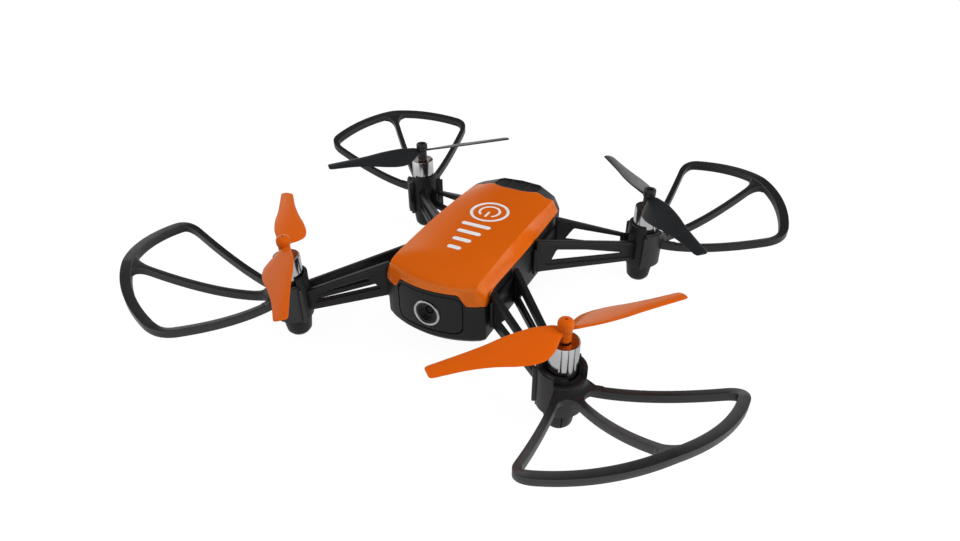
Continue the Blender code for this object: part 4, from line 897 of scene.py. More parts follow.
dome = [(GLASS_RADIUS * math.cos(a), GLASS_RIM + GLASS_BULGE * math.sin(a)) for a in rise]
glass = [(0.0, GLASS_BACK), (GLASS_RADIUS, GLASS_BACK)] + dome
make_piece("lens_front_glass", [(looking_out(turned(glass, 48)), False, True)], LENS_GLASS, "airframe",
           ("lens_glass",), 60.0)
print("lens looks along -Y at height", LENS_Z, "mm")

# %% [markdown]
# ## Battery cap
# The rear end belongs to the battery and slides out with it. Its top is a thumb grip: fine ribs that run
# along the body, split in three by two thin flats. The rest falls away in facets. The loft runs from the
# shell's rear edge to the tail, and the ribs are pressed into the same grid, so they are real grooves.

# %% Battery cap with its grip
CAP_HEART_Z = 18.0
CAP_GAP = 0.3
# Top rim of the cap, where its upper facets end: distance from the middle at the shell, then place (x, y, z)
CAP_RIM = [(0.0, 0.0, 37.2, 31.6), (7.2, 7.2, 36.7, 31.45), (CROWN_X, 14.4, 33.4, 29.9),
           (16.9, 16.3, 32.2, 27.7), (BODY_HALF_WIDTH, 17.2, 31.6, 26.5)]
# Loops behind the rim: how far back, then how wide and how tall beside the loop at the shell
CAP_BACKS = [(8.0, 0.88, 0.90), (8.7, 0.66, 0.72)]
CAP_ROWS = (22, 6, 6)
CAP_BOW = 0.5
CAP_LOW_BOW = 2.0
CAP_LEAST_STEP = 0.1
CAP_FRONT_Y = SHELL_REAR_Y + CAP_GAP
SEAT_SHARE = (0.96, 0.0, 0.95)
SEAT_DEPTH = 0.12
RIB_PITCH = 0.75
RIB_DEPTH = 0.55
GRIP_DEPTH = 0.2
GRIP_SPAN = 9.0
GRIP_HALF_WIDTH = 8.4
GRIP_FLATS = (-3.0, 3.75)
GRIP_FLAT_HALF_WIDTH = 0.15
GRIP_EDGE = 0.1
# Where the ribs begin and end on the way from the shell to the rim, and how fast they fade there
GRIP_START = 0.06
GRIP_START_FADE = 0.04
GRIP_END = 0.94
GRIP_END_FADE = 0.05

outer = np.linspace(GRIP_SPAN, BODY_HALF_WIDTH, 24)[1:]
x = np.concatenate([-outer[::-1], np.linspace(-GRIP_SPAN, GRIP_SPAN, 241), outer])
rear_row = shell_skin[0]
top = np.stack([x, CAP_FRONT_Y + rear_edge(x), np.interp(x, rear_row[:, 0], rear_row[:, 2])], axis=-1)
sides = [(BODY_HALF_WIDTH, float(rear_row[-1, 2])), (BODY_HALF_WIDTH, HULL_CHAMFER_Z),
         (BODY_HALF_WIDTH - HULL_CHAMFER_INSET, HULL_FLOOR_Z)]
sides += [(-half_width, z) for half_width, z in reversed(sides)]
under = np.concatenate([np.linspace(a, b, 9, endpoint=False) for a, b in zip(sides, sides[1:])])[1:]
under = np.stack([under[:, 0], 0 * under[:, 0] + CAP_FRONT_Y, under[:, 1]], axis=-1)
first = np.concatenate([top, under])
heart = np.array([0.0, 0.0, CAP_HEART_Z])
at, rim_x, rim_y, rim_z = np.array(CAP_RIM).T
out = np.abs(x)
top_rim = np.stack([np.interp(out, at, column) for column in (rim_x, rim_y, rim_z)], axis=-1)
top_rim[:, 0] *= np.sign(x)
low_rim = under * (rim_x[-1] / BODY_HALF_WIDTH, 1.0, 1.0)
low_rim[:, 1] = rim_y[-1] + CAP_LOW_BOW * (1.0 - np.abs(under[:, 0]) / BODY_HALF_WIDTH)
cap_lines = [first, np.concatenate([top_rim, low_rim])]
bow = 1.0 - CAP_BOW * (np.abs(first[:, 0]) / BODY_HALF_WIDTH) ** 2.0
for reach, wide, tall in CAP_BACKS:
    loop = heart + (first - heart) * (wide, 0.0, tall)
    loop[:, 1] = np.maximum(CAP_FRONT_Y + reach * bow, cap_lines[-1][:, 1] + CAP_LEAST_STEP)
    cap_lines.append(loop)
loops = [first]
for a, b, n in zip(cap_lines, cap_lines[1:], CAP_ROWS):
    loops += [a + (b - a) * t for t in np.linspace(0.0, 1.0, n + 1)[1:]]
cap = np.stack(loops)
grip = cap[:CAP_ROWS[0] + 1, :len(top)]
x = grip[..., 0]
t = np.linspace(0.0, 1.0, len(grip))[:, None]
rib = np.abs(2.0 * ((x / RIB_PITCH) % 1.0) - 1.0)
flat_gap = np.min([np.abs(x - place) for place in GRIP_FLATS], axis=0)
on_grip = np.clip((GRIP_HALF_WIDTH - np.abs(x)) / GRIP_EDGE, 0.0, 1.0)
on_grip = on_grip * np.clip((flat_gap - GRIP_FLAT_HALF_WIDTH) / GRIP_EDGE, 0.0, 1.0)
on_grip *= np.clip((GRIP_END - t) / GRIP_END_FADE, 0.0, 1.0)
on_grip *= np.clip((t - GRIP_START) / GRIP_START_FADE, 0.0, 1.0)
grip[..., 2] -= (RIB_DEPTH * rib + GRIP_DEPTH) * on_grip
# The tail is one bowed face: its outline shrinks to the heart, and every point takes the bow's y at its own x
reach, wide, _ = CAP_BACKS[-1]
tail_rows = np.stack([heart + (cap[-1] - heart) * share for share in (1.0, 0.75, 0.5, 0.25, 0.0)])
tail_bow = 1.0 - CAP_BOW * (tail_rows[..., 0] / (wide * BODY_HALF_WIDTH)) ** 2.0
tail_rows[..., 1] = CAP_FRONT_Y + reach * tail_bow
print("tail meets its rim within", np.abs(tail_rows[0] - cap[-1]).max(), "mm")
seat = heart + (first - heart) * SEAT_SHARE + first * (0, 1, 0)
seat_rows = np.stack([first, seat - (0.0, SEAT_DEPTH, 0.0), 0 * seat + heart + (0.0, CAP_FRONT_Y, 0.0)])
sheets = [(rows, False, True) for rows in (cap, tail_rows, seat_rows)]
make_piece("battery_cap_grip", sheets, BLACK_FRAME, "battery", ("battery_cap",), 8.0)
print("battery cap:", cap.shape, "ribs every", RIB_PITCH, "mm")

# %% [markdown]
# ## Arms
# Each arm is one moulding: two upright plates that run from the side of the hull to a round motor holder,
# and the holder goes on down into a tapered foot. A plate is light because it is hollowed: a pocket sunk
# into both faces, and a slanted window through the middle. Its skin is one belt of outlines, from the
# window's wall over the pocket and round the outer edge to the other face and back, so belt and outline
# both close on themselves.

# %% Arm plates and blocks
MOTOR_X = 46.5
MOTOR_Y = 41.5
HOLDER_BORE = 4.55
HOLDER_RADIUS = 5.55
HOLDER_TOP_Z = 20.8
HOLDER_BACK_Z = 23.0
HOLDER_BACK_FOOT_Z = 16.8
HOLDER_BACK_ANGLE = 70.0
HOLDER_STEPS = 180
ROOT_TOP_Z = 26.4
ROOT_BOTTOM_Z = 14.2
TIP_TOP_Z = 17.0
TIP_BOTTOM_Z = 9.7
PLATE_THICKNESS = 1.8
PLATE_WEB = 0.8
PLATE_OFFSET = 2.6
PLATE_TIP_SHARE = 0.8
# Pocket and window of each plate: margins at the root's foot, the tip's foot, the tip's top and the root's
# top, then how far from the root they begin at the foot and at the top; then how much the plate's root is
# lowered, and how much sooner than the pocket the window ends
PLATE_SHAPES = {
    "front": (((3.2, 2.6, 2.2, 2.7, 3.0, 3.0), (3.9, 3.2, 2.7, 3.0, 4.3, 7.4), 0.0, 1.0),
              ((2.2, 2.0, 2.5, 2.7, 2.2, 2.2), (3.7, 3.4, 4.0, 4.6, 4.2, 6.6), 1.2, 6.0)),
    "rear": (((2.4, 1.6, 0.8, 1.6, 2.4, 2.4), (3.8, 2.8, 1.5, 2.7, 3.8, 6.8), 0.0, 1.0),
             ((2.4, 1.6, 1.3, 2.2, 3.2, 3.2), (3.8, 3.4, 3.2, 3.4, 6.0, 7.9), 0.0, 3.5)),
}
ROOT_X = 18.4
ARM_ROOTS = {"front": (26.0, 9.6), "rear": (25.2, 7.0)}
# Corner: side signs, rest angle of the propeller, hand of its turning, and the bearing of its guard
CORNERS = {
    "front_left": (1, -1, 51.0, -1, 40.0),
    "front_right": (-1, -1, 129.75, 1, 40.0),
    "rear_right": (-1, 1, 48.6, -1, 42.0),
    "rear_left": (1, 1, 129.6, 1, 42.0),
}


def grown(corners, by):
    """Corners of a polygon moved out along their bisectors, so that every side shifts by the same amount."""
    corners = np.asarray(corners, float)
    ahead = np.roll(corners, -1, axis=0) - corners
    ahead /= np.linalg.norm(ahead, axis=1)[:, None]
    out = np.stack([ahead[:, 1], -ahead[:, 0]], axis=-1)
    back = np.roll(out, 1, axis=0)
    return corners + by * (out + back) / (1 + (out * back).sum(axis=1))[:, None]


def plate_corners(margins, length, far, drop):
    """Corners of a plate, a pocket or a window as (along the arm, height): foot and top of the plate run
    straight from root to tip, and the margins stand inside them."""
    root_foot, tip_foot, tip_top, root_top, near, top_near = margins
    along = np.array([near, far, far, top_near])
    root_z = np.array([ROOT_BOTTOM_Z, ROOT_BOTTOM_Z, ROOT_TOP_Z, ROOT_TOP_Z]) - drop
    tip_z = np.array([TIP_BOTTOM_Z, TIP_BOTTOM_Z, TIP_TOP_Z, TIP_TOP_Z])
    inside = np.array([root_foot, tip_foot, -tip_top, -root_top])
    return np.stack([along, root_z + (tip_z - root_z) * along / length + inside], axis=-1)


def plate_belt(root, tip, pocket, window, drop, sooner):
    """Belt of matching outlines of one arm plate, each at its own depth from the middle of the plate."""
    length = float(np.linalg.norm(tip - root))
    far = length - HOLDER_RADIUS / 2
    body = plate_corners(np.zeros(6), length, length, drop)
    rim = plate_corners(pocket, length, far, drop)
    slot = plate_corners(window, length, far - sooner, drop)
    web = PLATE_WEB / 2
    face = PLATE_THICKNESS / 2
    # Outline, how far it is grown, its corner radius and its depth
    belt = [(slot, 0.0, 0.7, web - 0.12), (slot, 0.12, 0.8, web), (rim, -0.15, 0.7, web),
            (rim, 0.0, 0.8, web + 0.1), (rim, 0.0, 0.8, face - 0.12), (rim, 0.12, 0.9, face),
            (body, -0.22, 0.3, face), (body, -0.07, 0.3, face - 0.06), (body, 0.0, 0.3, face - 0.2)]
    belt += [(shape, by, corner, -depth) for shape, by, corner, depth in reversed(belt)]
    ahead = np.append((tip - root) / length, 0.0)
    across = np.array([ahead[1], -ahead[0], 0.0])
    loops = []
    for shape, by, corner, depth in belt:
        flat = soft_corners(grown(shape, by), corner, 5, 10)
        loops.append(np.append(root, 0.0) + flat[:, :1] * ahead + flat[:, 1:] * UP + depth * across)
    return np.stack(loops)


def block(low, high, soft):
    """Upright block with softened edges, as stacked outlines closed at both ends."""
    x0, y0, z0 = low
    x1, y1, z1 = high
    corners = [(x0, y0), (x1, y0), (x1, y1), (x0, y1)]
    rows = [(-soft, z0), (-0.3 * soft, z0 + 0.3 * soft), (0.0, z0 + soft), (0.0, z1 - soft),
            (-0.3 * soft, z1 - 0.3 * soft), (-soft, z1)]
    loops = []
    for by, z in rows:
        flat = soft_corners(grown(corners, by), 1.5 * soft, 3, 4)
        loops.append(np.concatenate([flat, np.full((len(flat), 1), z)], axis=-1))
    return with_ends(np.stack(loops))


def corner_bearing(side, along, degrees):
    """Bearing given for the corner on +X and +Y, mirrored to the corner with these signs."""
    bearing = math.radians(degrees)
    return math.atan2(along * math.sin(bearing), side * math.cos(bearing))


print("arm plates:", PLATE_THICKNESS, "mm thick with a web of", PLATE_WEB, "mm")

# %% Arms with holders and feet
WALL_SECTION = np.array([(-0.5, 0.0), (-0.5, 0.985), (-0.47, 0.997), (-0.42, 1.0), (0.42, 1.0), (0.47, 0.997),
                         (0.5, 0.985), (0.5, 0.0)])
HOLDER_PROFILE = [(0.0, 9.2), (HOLDER_BORE, 9.2), (HOLDER_BORE, 20.6), (4.65, HOLDER_TOP_Z),
                  (5.48, HOLDER_TOP_Z), (HOLDER_RADIUS, 20.72), (HOLDER_RADIUS, 7.35), (5.5, 7.2),
                  (5.3, 7.05), (4.85, 6.6), (4.72, 6.4), (4.68, 6.1), (4.06, 1.55), (3.98, 1.32),
                  (3.86, 1.12), (3.06, 0.12), (2.9, 0.03), (2.7, 0.0), (0.0, 0.0)]
KEYWAY = (-10.0, 48.0)
KEYWAY_Z = 19.2
FOOT_SLIT = -18.0
FOOT_SLIT_HALF_ANGLE = 1.01
FOOT_SLIT_Z = (1.5, 6.2)
FOOT_SLIT_SHARE = 0.9
# Block across the two roots of an arm, and the posts on it
ROOT_BLOCK_X = (17.8, 19.0)
ROOT_BLOCK_Z = (13.6, 23.0)
ROOT_BLOCK_OVERHANG = 0.8
ROOT_BLOCK_SOFTNESS = 0.3
ROOT_POST_X = (18.6, 20.2)
ROOT_POST_Z = (13.9, 24.6)
ROOT_POST_HALF_WIDTH = 0.7
ROOT_POST_SHARES = (0.12, 0.88)
ROOT_POST_SOFTNESS = 0.25

axis = np.array([MOTOR_X, MOTOR_Y])
for corner, (side, along, _, _, guard_bearing) in CORNERS.items():
    end = corner.split("_")[0]
    outer_y, inner_y = ARM_ROOTS[end]
    signs = np.array([side, along])
    heading = axis - (ROOT_X, (outer_y + inner_y) / 2)
    heading /= np.linalg.norm(heading)
    left = np.array([-heading[1], heading[0]])
    centre = np.append(signs * axis, 0.0)
    holder = turned(HOLDER_PROFILE, HOLDER_STEPS)
    bearing = corner_bearing(side, along, guard_bearing)
    turn = np.linspace(0.0, 2.0 * np.pi, HOLDER_STEPS, endpoint=False) - bearing
    turn = np.degrees((turn + np.pi) % (2.0 * np.pi) - np.pi) * -side * along
    lowered = (turn > KEYWAY[0]) & (turn < KEYWAY[1])
    holder[..., 2] = np.where(lowered, np.minimum(holder[..., 2], KEYWAY_Z), holder[..., 2])
    low, high = FOOT_SLIT_Z
    on_foot = (holder[..., 2] > low) & (holder[..., 2] < high)
    slit = on_foot & (np.abs(turn - FOOT_SLIT) < FOOT_SLIT_HALF_ANGLE)
    holder[..., :2] *= np.where(slit, FOOT_SLIT_SHARE, 1.0)[..., None]
    sheets = [(holder + centre, False, True)]
    facing = math.atan2(-along * heading[1], -side * heading[0])
    turn = facing + np.radians(np.linspace(-HOLDER_BACK_ANGLE, HOLDER_BACK_ANGLE, 40))
    radius = (HOLDER_BORE + HOLDER_RADIUS) / 2 + 0.02
    path = np.stack([radius * np.cos(turn), radius * np.sin(turn), 0 * turn + HOLDER_BACK_FOOT_Z], axis=-1)
    height = HOLDER_BACK_Z - HOLDER_BACK_FOOT_Z
    sheets.append((carried(path + centre, WALL_SECTION, 1.0, height), False, True))
    for root_y, offset, shape in zip((outer_y, inner_y), (PLATE_OFFSET, -PLATE_OFFSET), PLATE_SHAPES[end]):
        root = signs * (ROOT_X, root_y)
        tip = signs * (axis + left * offset - heading * HOLDER_BORE * PLATE_TIP_SHARE)
        sheets.append((plate_belt(root, tip, *shape), True, True))
    reach = PLATE_THICKNESS * ROOT_BLOCK_OVERHANG
    y_low, y_high = sorted((along * (outer_y + reach), along * (inner_y - reach)))
    x_low, x_high = sorted(side * x for x in ROOT_BLOCK_X)
    z_low, z_high = ROOT_BLOCK_Z
    sheets.append((block((x_low, y_low, z_low), (x_high, y_high, z_high), ROOT_BLOCK_SOFTNESS), False, True))
    x_low, x_high = sorted(side * x for x in ROOT_POST_X)
    z_low, z_high = ROOT_POST_Z
    for share in ROOT_POST_SHARES:
        y = y_low + (y_high - y_low) * share
        low = (x_low, y - ROOT_POST_HALF_WIDTH, z_low)
        high = (x_high, y + ROOT_POST_HALF_WIDTH, z_high)
        sheets.append((block(low, high, ROOT_POST_SOFTNESS), False, True))
    make_piece(f"arm_{corner}_moulding", sheets, BLACK_FRAME, "airframe", (f"arm_{corner}",),
               28.0)
print("four arms, each one moulding of", len(sheets), "grids")

# %% [markdown]
# ## Motors
# Small coreless motors: a drawn steel can, plated and bright, with a pressed end plate sunk into its rolled
# rim. The can is nearly a mirror, so its dark stripes are not painted: they are the spokes and the collar
# of the guard.

# %% Motor cans and end plates
MOTOR_TOP_Z = 29.5
CAN_PROFILE = [(0.0, 9.5), (3.8, 9.5), (4.1, 9.6), (4.25, 9.95), (4.25, 29.32), (4.22, 29.44),
               (4.14, MOTOR_TOP_Z), (4.04, MOTOR_TOP_Z), (3.98, 29.45), (3.96, 29.36), (3.96, 28.4),
               (0.0, 28.4)]
END_PROFILE = [(0.8, 28.45), (0.8, 29.72), (0.9, 29.78), (1.2, 29.78), (1.3, 29.7), (1.3, 29.46),
               (1.36, 29.42), (2.2, 29.42), (3.2, 29.42), (3.84, 29.42), (3.9, 29.38), (3.92, 29.3),
               (3.92, 28.45)]
for corner, (side, along, _, _, _) in CORNERS.items():
    centre = (side * MOTOR_X, along * MOTOR_Y, 0.0)
    can = turned(CAN_PROFILE, 96) + centre
    make_piece(f"motor_can_{corner}_drawn", [(can, False, True)], PLATED_CAN, "airframe",
               (f"motor_can_{corner}",))
    end_plate = turned(END_PROFILE, 72) + centre
    make_piece(f"motor_cap_{corner}_pressed", [(end_plate, True, True)], END_PLATE, "airframe",
               (f"motor_cap_{corner}",))
    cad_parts[f"motor_shaft_{corner}"].material_slots[0].material = GROUND_STEEL
print("motors stand", MOTOR_TOP_Z, "mm above the floor")

# %% [markdown]
# ## Propellers
# Two twisted blades on a hub, orange in front and black behind, handed in pairs. A blade is a section of an
# aerofoil carried outwards: at each station it has its own chord ahead of and behind the axis, its own
# pitch and its own thickness. The front hubs are domed with a pin hole; the rear hubs end in a small cup.

# %% Propellers
PROP_RADIUS = 38.1
PROP_PLANE_Z = 33.2
PROP_DROOP = 0.6
PROP_THICKNESS = 1.1
BLADE_TAPER = 0.45
BLADE_CAMBER = 0.35
# Aerofoil section: power that rounds its edges, thickness at its back and what is added towards its front
SECTION_POWER = 0.75
SECTION_BACK = 0.55
SECTION_GAIN = 0.35
# Share of the radius, chord ahead and behind as shares of it, pitch in degrees
BLADE_STATIONS = [(0.037, 0.036, 0.036, 23.0), (0.06, 0.050, 0.054, 23.0), (0.13, 0.068, 0.119, 22.0),
                  (0.21, 0.083, 0.169, 20.6), (0.30, 0.087, 0.181, 19.0), (0.42, 0.084, 0.163, 17.0),
                  (0.58, 0.067, 0.116, 14.3), (0.76, 0.057, 0.080, 11.3), (0.92, 0.051, 0.064, 8.7),
                  (0.975, 0.048, 0.058, 7.8), (0.993, 0.043, 0.051, 7.5), (1.0, 0.034, 0.040, 7.3)]


def blade_grid(hand, angle):
    """Blade as rows of closed aerofoil sections from hub to tip; hand is +1 where it turns anticlockwise."""
    share, lead, trail, pitch = through(BLADE_STATIONS, 110, np.array(BLADE_STATIONS)[:, 0]).T[:, :, None]
    thick = PROP_THICKNESS * (1.0 - BLADE_TAPER * share) / 2
    turn = np.linspace(0.0, 2.0 * np.pi, 36, endpoint=False)[None]
    ahead = 0.5 + 0.5 * np.cos(turn)
    chord = (-trail + (lead + trail) * ahead) * PROP_RADIUS
    bulge = np.sign(np.sin(turn)) * np.abs(np.sin(turn)) ** SECTION_POWER
    lift = thick * (bulge * (SECTION_BACK + SECTION_GAIN * ahead) + BLADE_CAMBER * np.sin(np.pi * ahead))
    tilt = np.radians(pitch)
    y = hand * (chord * np.cos(tilt) - lift * np.sin(tilt))
    z = PROP_PLANE_Z - PROP_DROOP * share + chord * np.sin(tilt) + lift * np.cos(tilt)
    x = np.broadcast_to(share * PROP_RADIUS, y.shape)
    return with_ends(turned_by(np.stack([x, y, z], axis=-1), angle))


HUB_STEM = [(0.0, 29.86), (1.7, 29.86), (1.84, 29.92), (1.88, 30.05), (1.88, 33.2), (1.96, 33.5),
            (2.12, 33.72), (2.2, 34.0)]
DOMED_HUB = HUB_STEM + [(2.2, 35.0), (2.17, 35.4), (2.05, 35.8), (1.82, 36.12), (1.5, 36.34), (1.1, 36.48),
                        (0.7, 36.53), (0.5, 36.54), (0.42, 36.48), (0.4, 36.2), (0.4, 35.4), (0.0, 35.4)]
CUPPED_HUB = HUB_STEM + [(2.2, 35.85), (2.15, 36.12), (2.02, 36.29), (1.85, 36.35), (1.55, 36.35),
                         (1.4, 36.25), (1.32, 36.0), (1.3, 35.6), (1.25, 35.42), (1.1, 35.36), (0.0, 35.36)]
HUB_FLUTES = 14
HUB_STEPS = 112
FLUTE_Z = (30.0, 33.3)
FLUTE_SHARE = 0.07


def fluted_hub(profile):
    """Hub turned from its profile, with shallow upright flutes pressed into the stem."""
    hub = turned(profile, HUB_STEPS)
    wave = 0.5 - 0.5 * np.cos(HUB_FLUTES * np.linspace(0.0, 2.0 * np.pi, HUB_STEPS, endpoint=False))
    on_stem = (hub[..., 2] > FLUTE_Z[0]) & (hub[..., 2] < FLUTE_Z[1])
    hub[..., :2] *= 1.0 - (FLUTE_SHARE * wave * on_stem)[..., None]
    return hub


for corner, (side, along, rest, hand, _) in CORNERS.items():
    centre = (side * MOTOR_X, along * MOTOR_Y, 0.0)
    if along < 0:
        profile, finish, slot = DOMED_HUB, ORANGE_BLADE, "orange_plastic"
    else:
        profile, finish, slot = CUPPED_HUB, BLACK_BLADE, "black_plastic"
    grids = [fluted_hub(profile)]
    grids += [blade_grid(hand, math.radians(rest + half_turn)) for half_turn in (0.0, 180.0)]
    sheets = [(grid + centre, False, True) for grid in grids]
    make_piece(f"propeller_{corner}_moulding", sheets, finish, f"propeller_{corner}",
               (f"propeller_{corner}",), 40.0)
print("propellers:", 2 * PROP_RADIUS, "mm across")

# %% [markdown]
# ## Guards
# A guard is a bowl in outline: a clip collar round the motor holder, three spokes that sag outwards and
# upwards, and an arc that is highest in its middle. The outer loop, side spoke, arc, side spoke, is one bar
# carried along one path. The middle spoke widens where it runs into the arc, which is how a moulder keeps
# such a corner from cracking.

# %% Arc, spokes and web of a guard
GUARD_RADIUS = 45.3
GUARD_HALF_ANGLE = math.radians(43.2)
GUARD_CORNER = 4.7
GUARD_LOW_Z = 16.6
GUARD_RIM_Z = 34.7
GUARD_RIM_DROP = 5.0
GUARD_RIM_CURVE = 1.4
GUARD_SAG = 1.6
GUARD_ROOT_ANGLE = math.radians(36.7)
GUARD_ROOT_RADIUS = 6.11
COLLAR_INNER = 5.6
COLLAR_OUTER = 6.85
COLLAR_HALF_ANGLE = 112.0
COLLAR_BOTTOM_Z = 8.0
COLLAR_TOP_Z = 20.9
SNAP_HALF_ANGLE = 50.0
SNAP_RAMP_ANGLE = 1.2
SNAP_HEIGHT = 2.3
# Clip lugs at the collar's ends: reach beyond the collar, then heights of foot and top
LUGS = [(1.0, 8.4, 20.4), (0.0, 7.0, 8.6)]
LUG_HALF_WIDTH = 0.55
LUG_SOFTNESS = 0.1
SPOKE_ROOT_RADIUS = 6.45
SPOKE_OVERLAP = 0.6
SPOKE_WIDTH = 2.0
SPOKE_HEIGHT = 2.7
ARC_WIDTH = 2.8
ARC_HEIGHT = 2.4
ARC_SHIFT = 0.32
ARC_LEAN = 0.21
ARC_FILLET = 4.0
WEB_STEPS = 14
WEB_THICKNESS = 2.0
WEB_ROOT_RADIUS = 6.5
WEB_REACH = 11.6
WEB_FILLET = (11.27, 4.1, 3.1)
WEB_HALF_ANGLE = 45.4
FLARE_ROOT_RADIUS = 6.8
FLARE_HEIGHT = 1.9
FLARE_REACH = 3.0
FLARE_POWER = 2.2
BAR_SECTION = np.array([(0.5, -0.93), (0.5, -0.08), (0.485, -0.035), (0.455, -0.01), (0.41, 0.0),
                        (-0.41, 0.0), (-0.455, -0.01), (-0.485, -0.035), (-0.5, -0.08), (-0.5, -0.93),
                        (-0.46, -1.0), (0.46, -1.0)])


def arc_points(angle):
    """Top of the outer arc: a circle in plan, highest in the middle and lower towards its corners."""
    share = np.abs(angle) / GUARD_HALF_ANGLE
    z = GUARD_RIM_Z - GUARD_RIM_DROP * share ** GUARD_RIM_CURVE
    return np.stack([GUARD_RADIUS * np.cos(angle), GUARD_RADIUS * np.sin(angle), z], axis=-1)


def spoke_points(start, end, shares):
    """Spoke from the collar to the arc: straight in plan, its height rising with a power of the way gone."""
    shares = np.asarray(shares)[:, None]
    return start + (end - start) * np.concatenate([shares, shares, shares ** GUARD_SAG], axis=-1)


def web_grid():
    """Web between the spokes: it flares out of the collar and ends in an arch, a circle touching two spokes.
    The last columns are its rounded edge and its underside."""
    turn = np.radians(np.linspace(-WEB_HALF_ANGLE, WEB_HALF_ANGLE, 183))
    x, y, radius = WEB_FILLET
    along = x * np.cos(turn) + y * np.sin(np.abs(turn))
    inside = along ** 2 - (x * x + y * y - radius * radius)
    reach = np.where(inside > 0, along - np.sqrt(np.clip(inside, 0.0, None)), WEB_REACH)[:, None]
    share = np.linspace(0.0, 1.0, WEB_STEPS)
    r = WEB_ROOT_RADIUS + (reach - 0.16 - WEB_ROOT_RADIUS) * share
    r = np.concatenate([r, reach - 0.05, reach, reach, reach - 0.15, 0 * reach + WEB_ROOT_RADIUS], axis=1)
    gone = np.clip((r - SPOKE_ROOT_RADIUS) / (GUARD_RADIUS - SPOKE_ROOT_RADIUS), 0.0, 1.0)
    rise = (GUARD_RIM_Z - GUARD_LOW_Z) * gone ** GUARD_SAG
    flare = FLARE_HEIGHT * np.clip(1 - (r - FLARE_ROOT_RADIUS) / FLARE_REACH, 0.0, 1.0) ** FLARE_POWER
    z = GUARD_LOW_Z - 0.02 + rise + flare
    below = WEB_STEPS + 2
    z[:, WEB_STEPS:below] -= (0.04, 0.16)
    z[:, below:] = GUARD_LOW_Z - WEB_THICKNESS + rise[:, below:] + (0.15, 0.0, 0.0)
    return with_ends(np.stack([r * np.cos(turn)[:, None], r * np.sin(turn)[:, None], z], axis=-1))


print("guards: arc", GUARD_RADIUS, "mm from the motor, highest at", GUARD_RIM_Z, "mm")

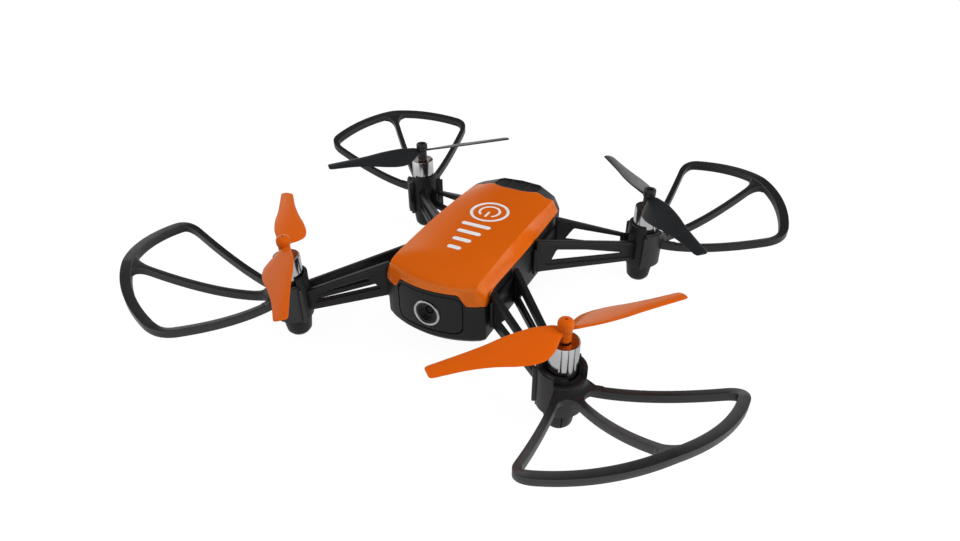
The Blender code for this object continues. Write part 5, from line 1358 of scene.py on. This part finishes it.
# %% Four guards
def guard_sheets():
    """Grids of one guard that points along +X: loop, middle spoke, web, collar and clip lugs."""
    corner = arc_points(-GUARD_HALF_ANGLE)
    root = GUARD_ROOT_RADIUS * np.array([math.cos(GUARD_ROOT_ANGLE), -math.sin(GUARD_ROOT_ANGLE), 0.0])
    root[2] = GUARD_LOW_Z
    reach = math.hypot(corner[0] - root[0], corner[1] - root[1])
    spoke = spoke_points(root, corner, np.linspace(0.0, 1.0 - GUARD_CORNER / reach, 30))
    bend = -GUARD_HALF_ANGLE + GUARD_CORNER / GUARD_RADIUS
    t = np.linspace(0.0, 1.0, 16)[1:, None]
    round_corner = (1 - t) ** 2 * spoke[-1] + 2 * t * (1 - t) * corner + t ** 2 * arc_points(bend)
    arc = arc_points(np.linspace(bend, 0.0, 40)[1:])
    path = np.concatenate([spoke, round_corner, arc])
    swell = np.concatenate([np.zeros(len(spoke)), t[:, 0], np.ones(len(arc))])
    path = np.concatenate([path, path[-2::-1] * (1, -1, 1)])
    swell = np.concatenate([swell, swell[-2::-1]])
    width = SPOKE_WIDTH + (ARC_WIDTH - SPOKE_WIDTH) * swell
    height = SPOKE_HEIGHT + (ARC_HEIGHT - SPOKE_HEIGHT) * swell
    sheets = [(carried(path, BAR_SECTION, width, height, ARC_SHIFT * swell, ARC_LEAN * swell), False, True)]

    inner = ARC_WIDTH / 2 + ARC_SHIFT
    end = arc_points(np.array(0.0)) - (inner - SPOKE_OVERLAP, 0.0, ARC_LEAN * (ARC_WIDTH - SPOKE_OVERLAP))
    middle = spoke_points(np.array([SPOKE_ROOT_RADIUS, 0.0, GUARD_LOW_Z]), end, np.linspace(0.0, 1.0, 120))
    into = np.clip(middle[:, 0] - (GUARD_RADIUS - inner - ARC_FILLET), 0.0, ARC_FILLET)
    width = SPOKE_WIDTH + 2.0 * (ARC_FILLET - np.sqrt(ARC_FILLET ** 2 - into ** 2))
    height = SPOKE_HEIGHT + (ARC_HEIGHT - SPOKE_HEIGHT) * into / ARC_FILLET
    spread = carried(middle, BAR_SECTION, width, height)
    ramp = np.concatenate([[0.0], into, [ARC_FILLET]])[:, None] / ARC_FILLET
    spread[..., 2] -= ramp * (GUARD_RIM_Z - arc_points(spread[..., 1] / GUARD_RADIUS)[..., 2])
    sheets.append((spread, False, True))
    sheets.append((web_grid(), False, True))

    degrees = np.linspace(-COLLAR_HALF_ANGLE, COLLAR_HALF_ANGLE, 337)
    turn = np.radians(degrees)
    wall = (COLLAR_INNER + COLLAR_OUTER) / 2
    ring = np.stack([wall * np.cos(turn), wall * np.sin(turn), 0 * turn + COLLAR_BOTTOM_Z], axis=-1)
    into = np.clip((SNAP_HALF_ANGLE - np.abs(degrees)) / SNAP_RAMP_ANGLE, 0.0, 1.0)
    top = COLLAR_TOP_Z - COLLAR_BOTTOM_Z - SNAP_HEIGHT * into
    sheets.append((carried(ring, WALL_SECTION, COLLAR_OUTER - COLLAR_INNER, top), False, True))
    for hand in (-1, 1):
        spin = math.radians(hand * COLLAR_HALF_ANGLE)
        for reach, foot_z, top_z in LUGS:
            low = (COLLAR_INNER, -LUG_HALF_WIDTH, foot_z)
            high = (COLLAR_OUTER + reach, LUG_HALF_WIDTH, top_z)
            sheets.append((turned_by(block(low, high, LUG_SOFTNESS), spin), False, True))
    return sheets


guard = guard_sheets()
for corner, (side, along, _, _, bearing) in CORNERS.items():
    angle = corner_bearing(side, along, bearing)
    centre = (side * MOTOR_X, along * MOTOR_Y, 0.0)
    sheets = [(turned_by(grid, angle) + centre, *closed) for grid, *closed in guard]
    make_piece(f"guard_{corner}_moulding", sheets, BLACK_GUARD, "airframe",
               (f"guard_{corner}",), 35.0)
print("guards:", len(guard), "grids each")

# %% [markdown]
# ## Boxes
# The boxes of the measured model and of the visual model are both worked out, and their sizes are printed.
# The visual model must stay inside the measured model's box.

# %% Boxes and finish
visual_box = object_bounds()
boxes = {"cad": [list(map(float, corner)) for corner in cad_box],
         "visual": [list(map(float, corner)) for corner in visual_box]}
for name, box in boxes.items():
    print(name, "size in mm:", np.round(np.diff(box, axis=0)[0] / MM, 2))
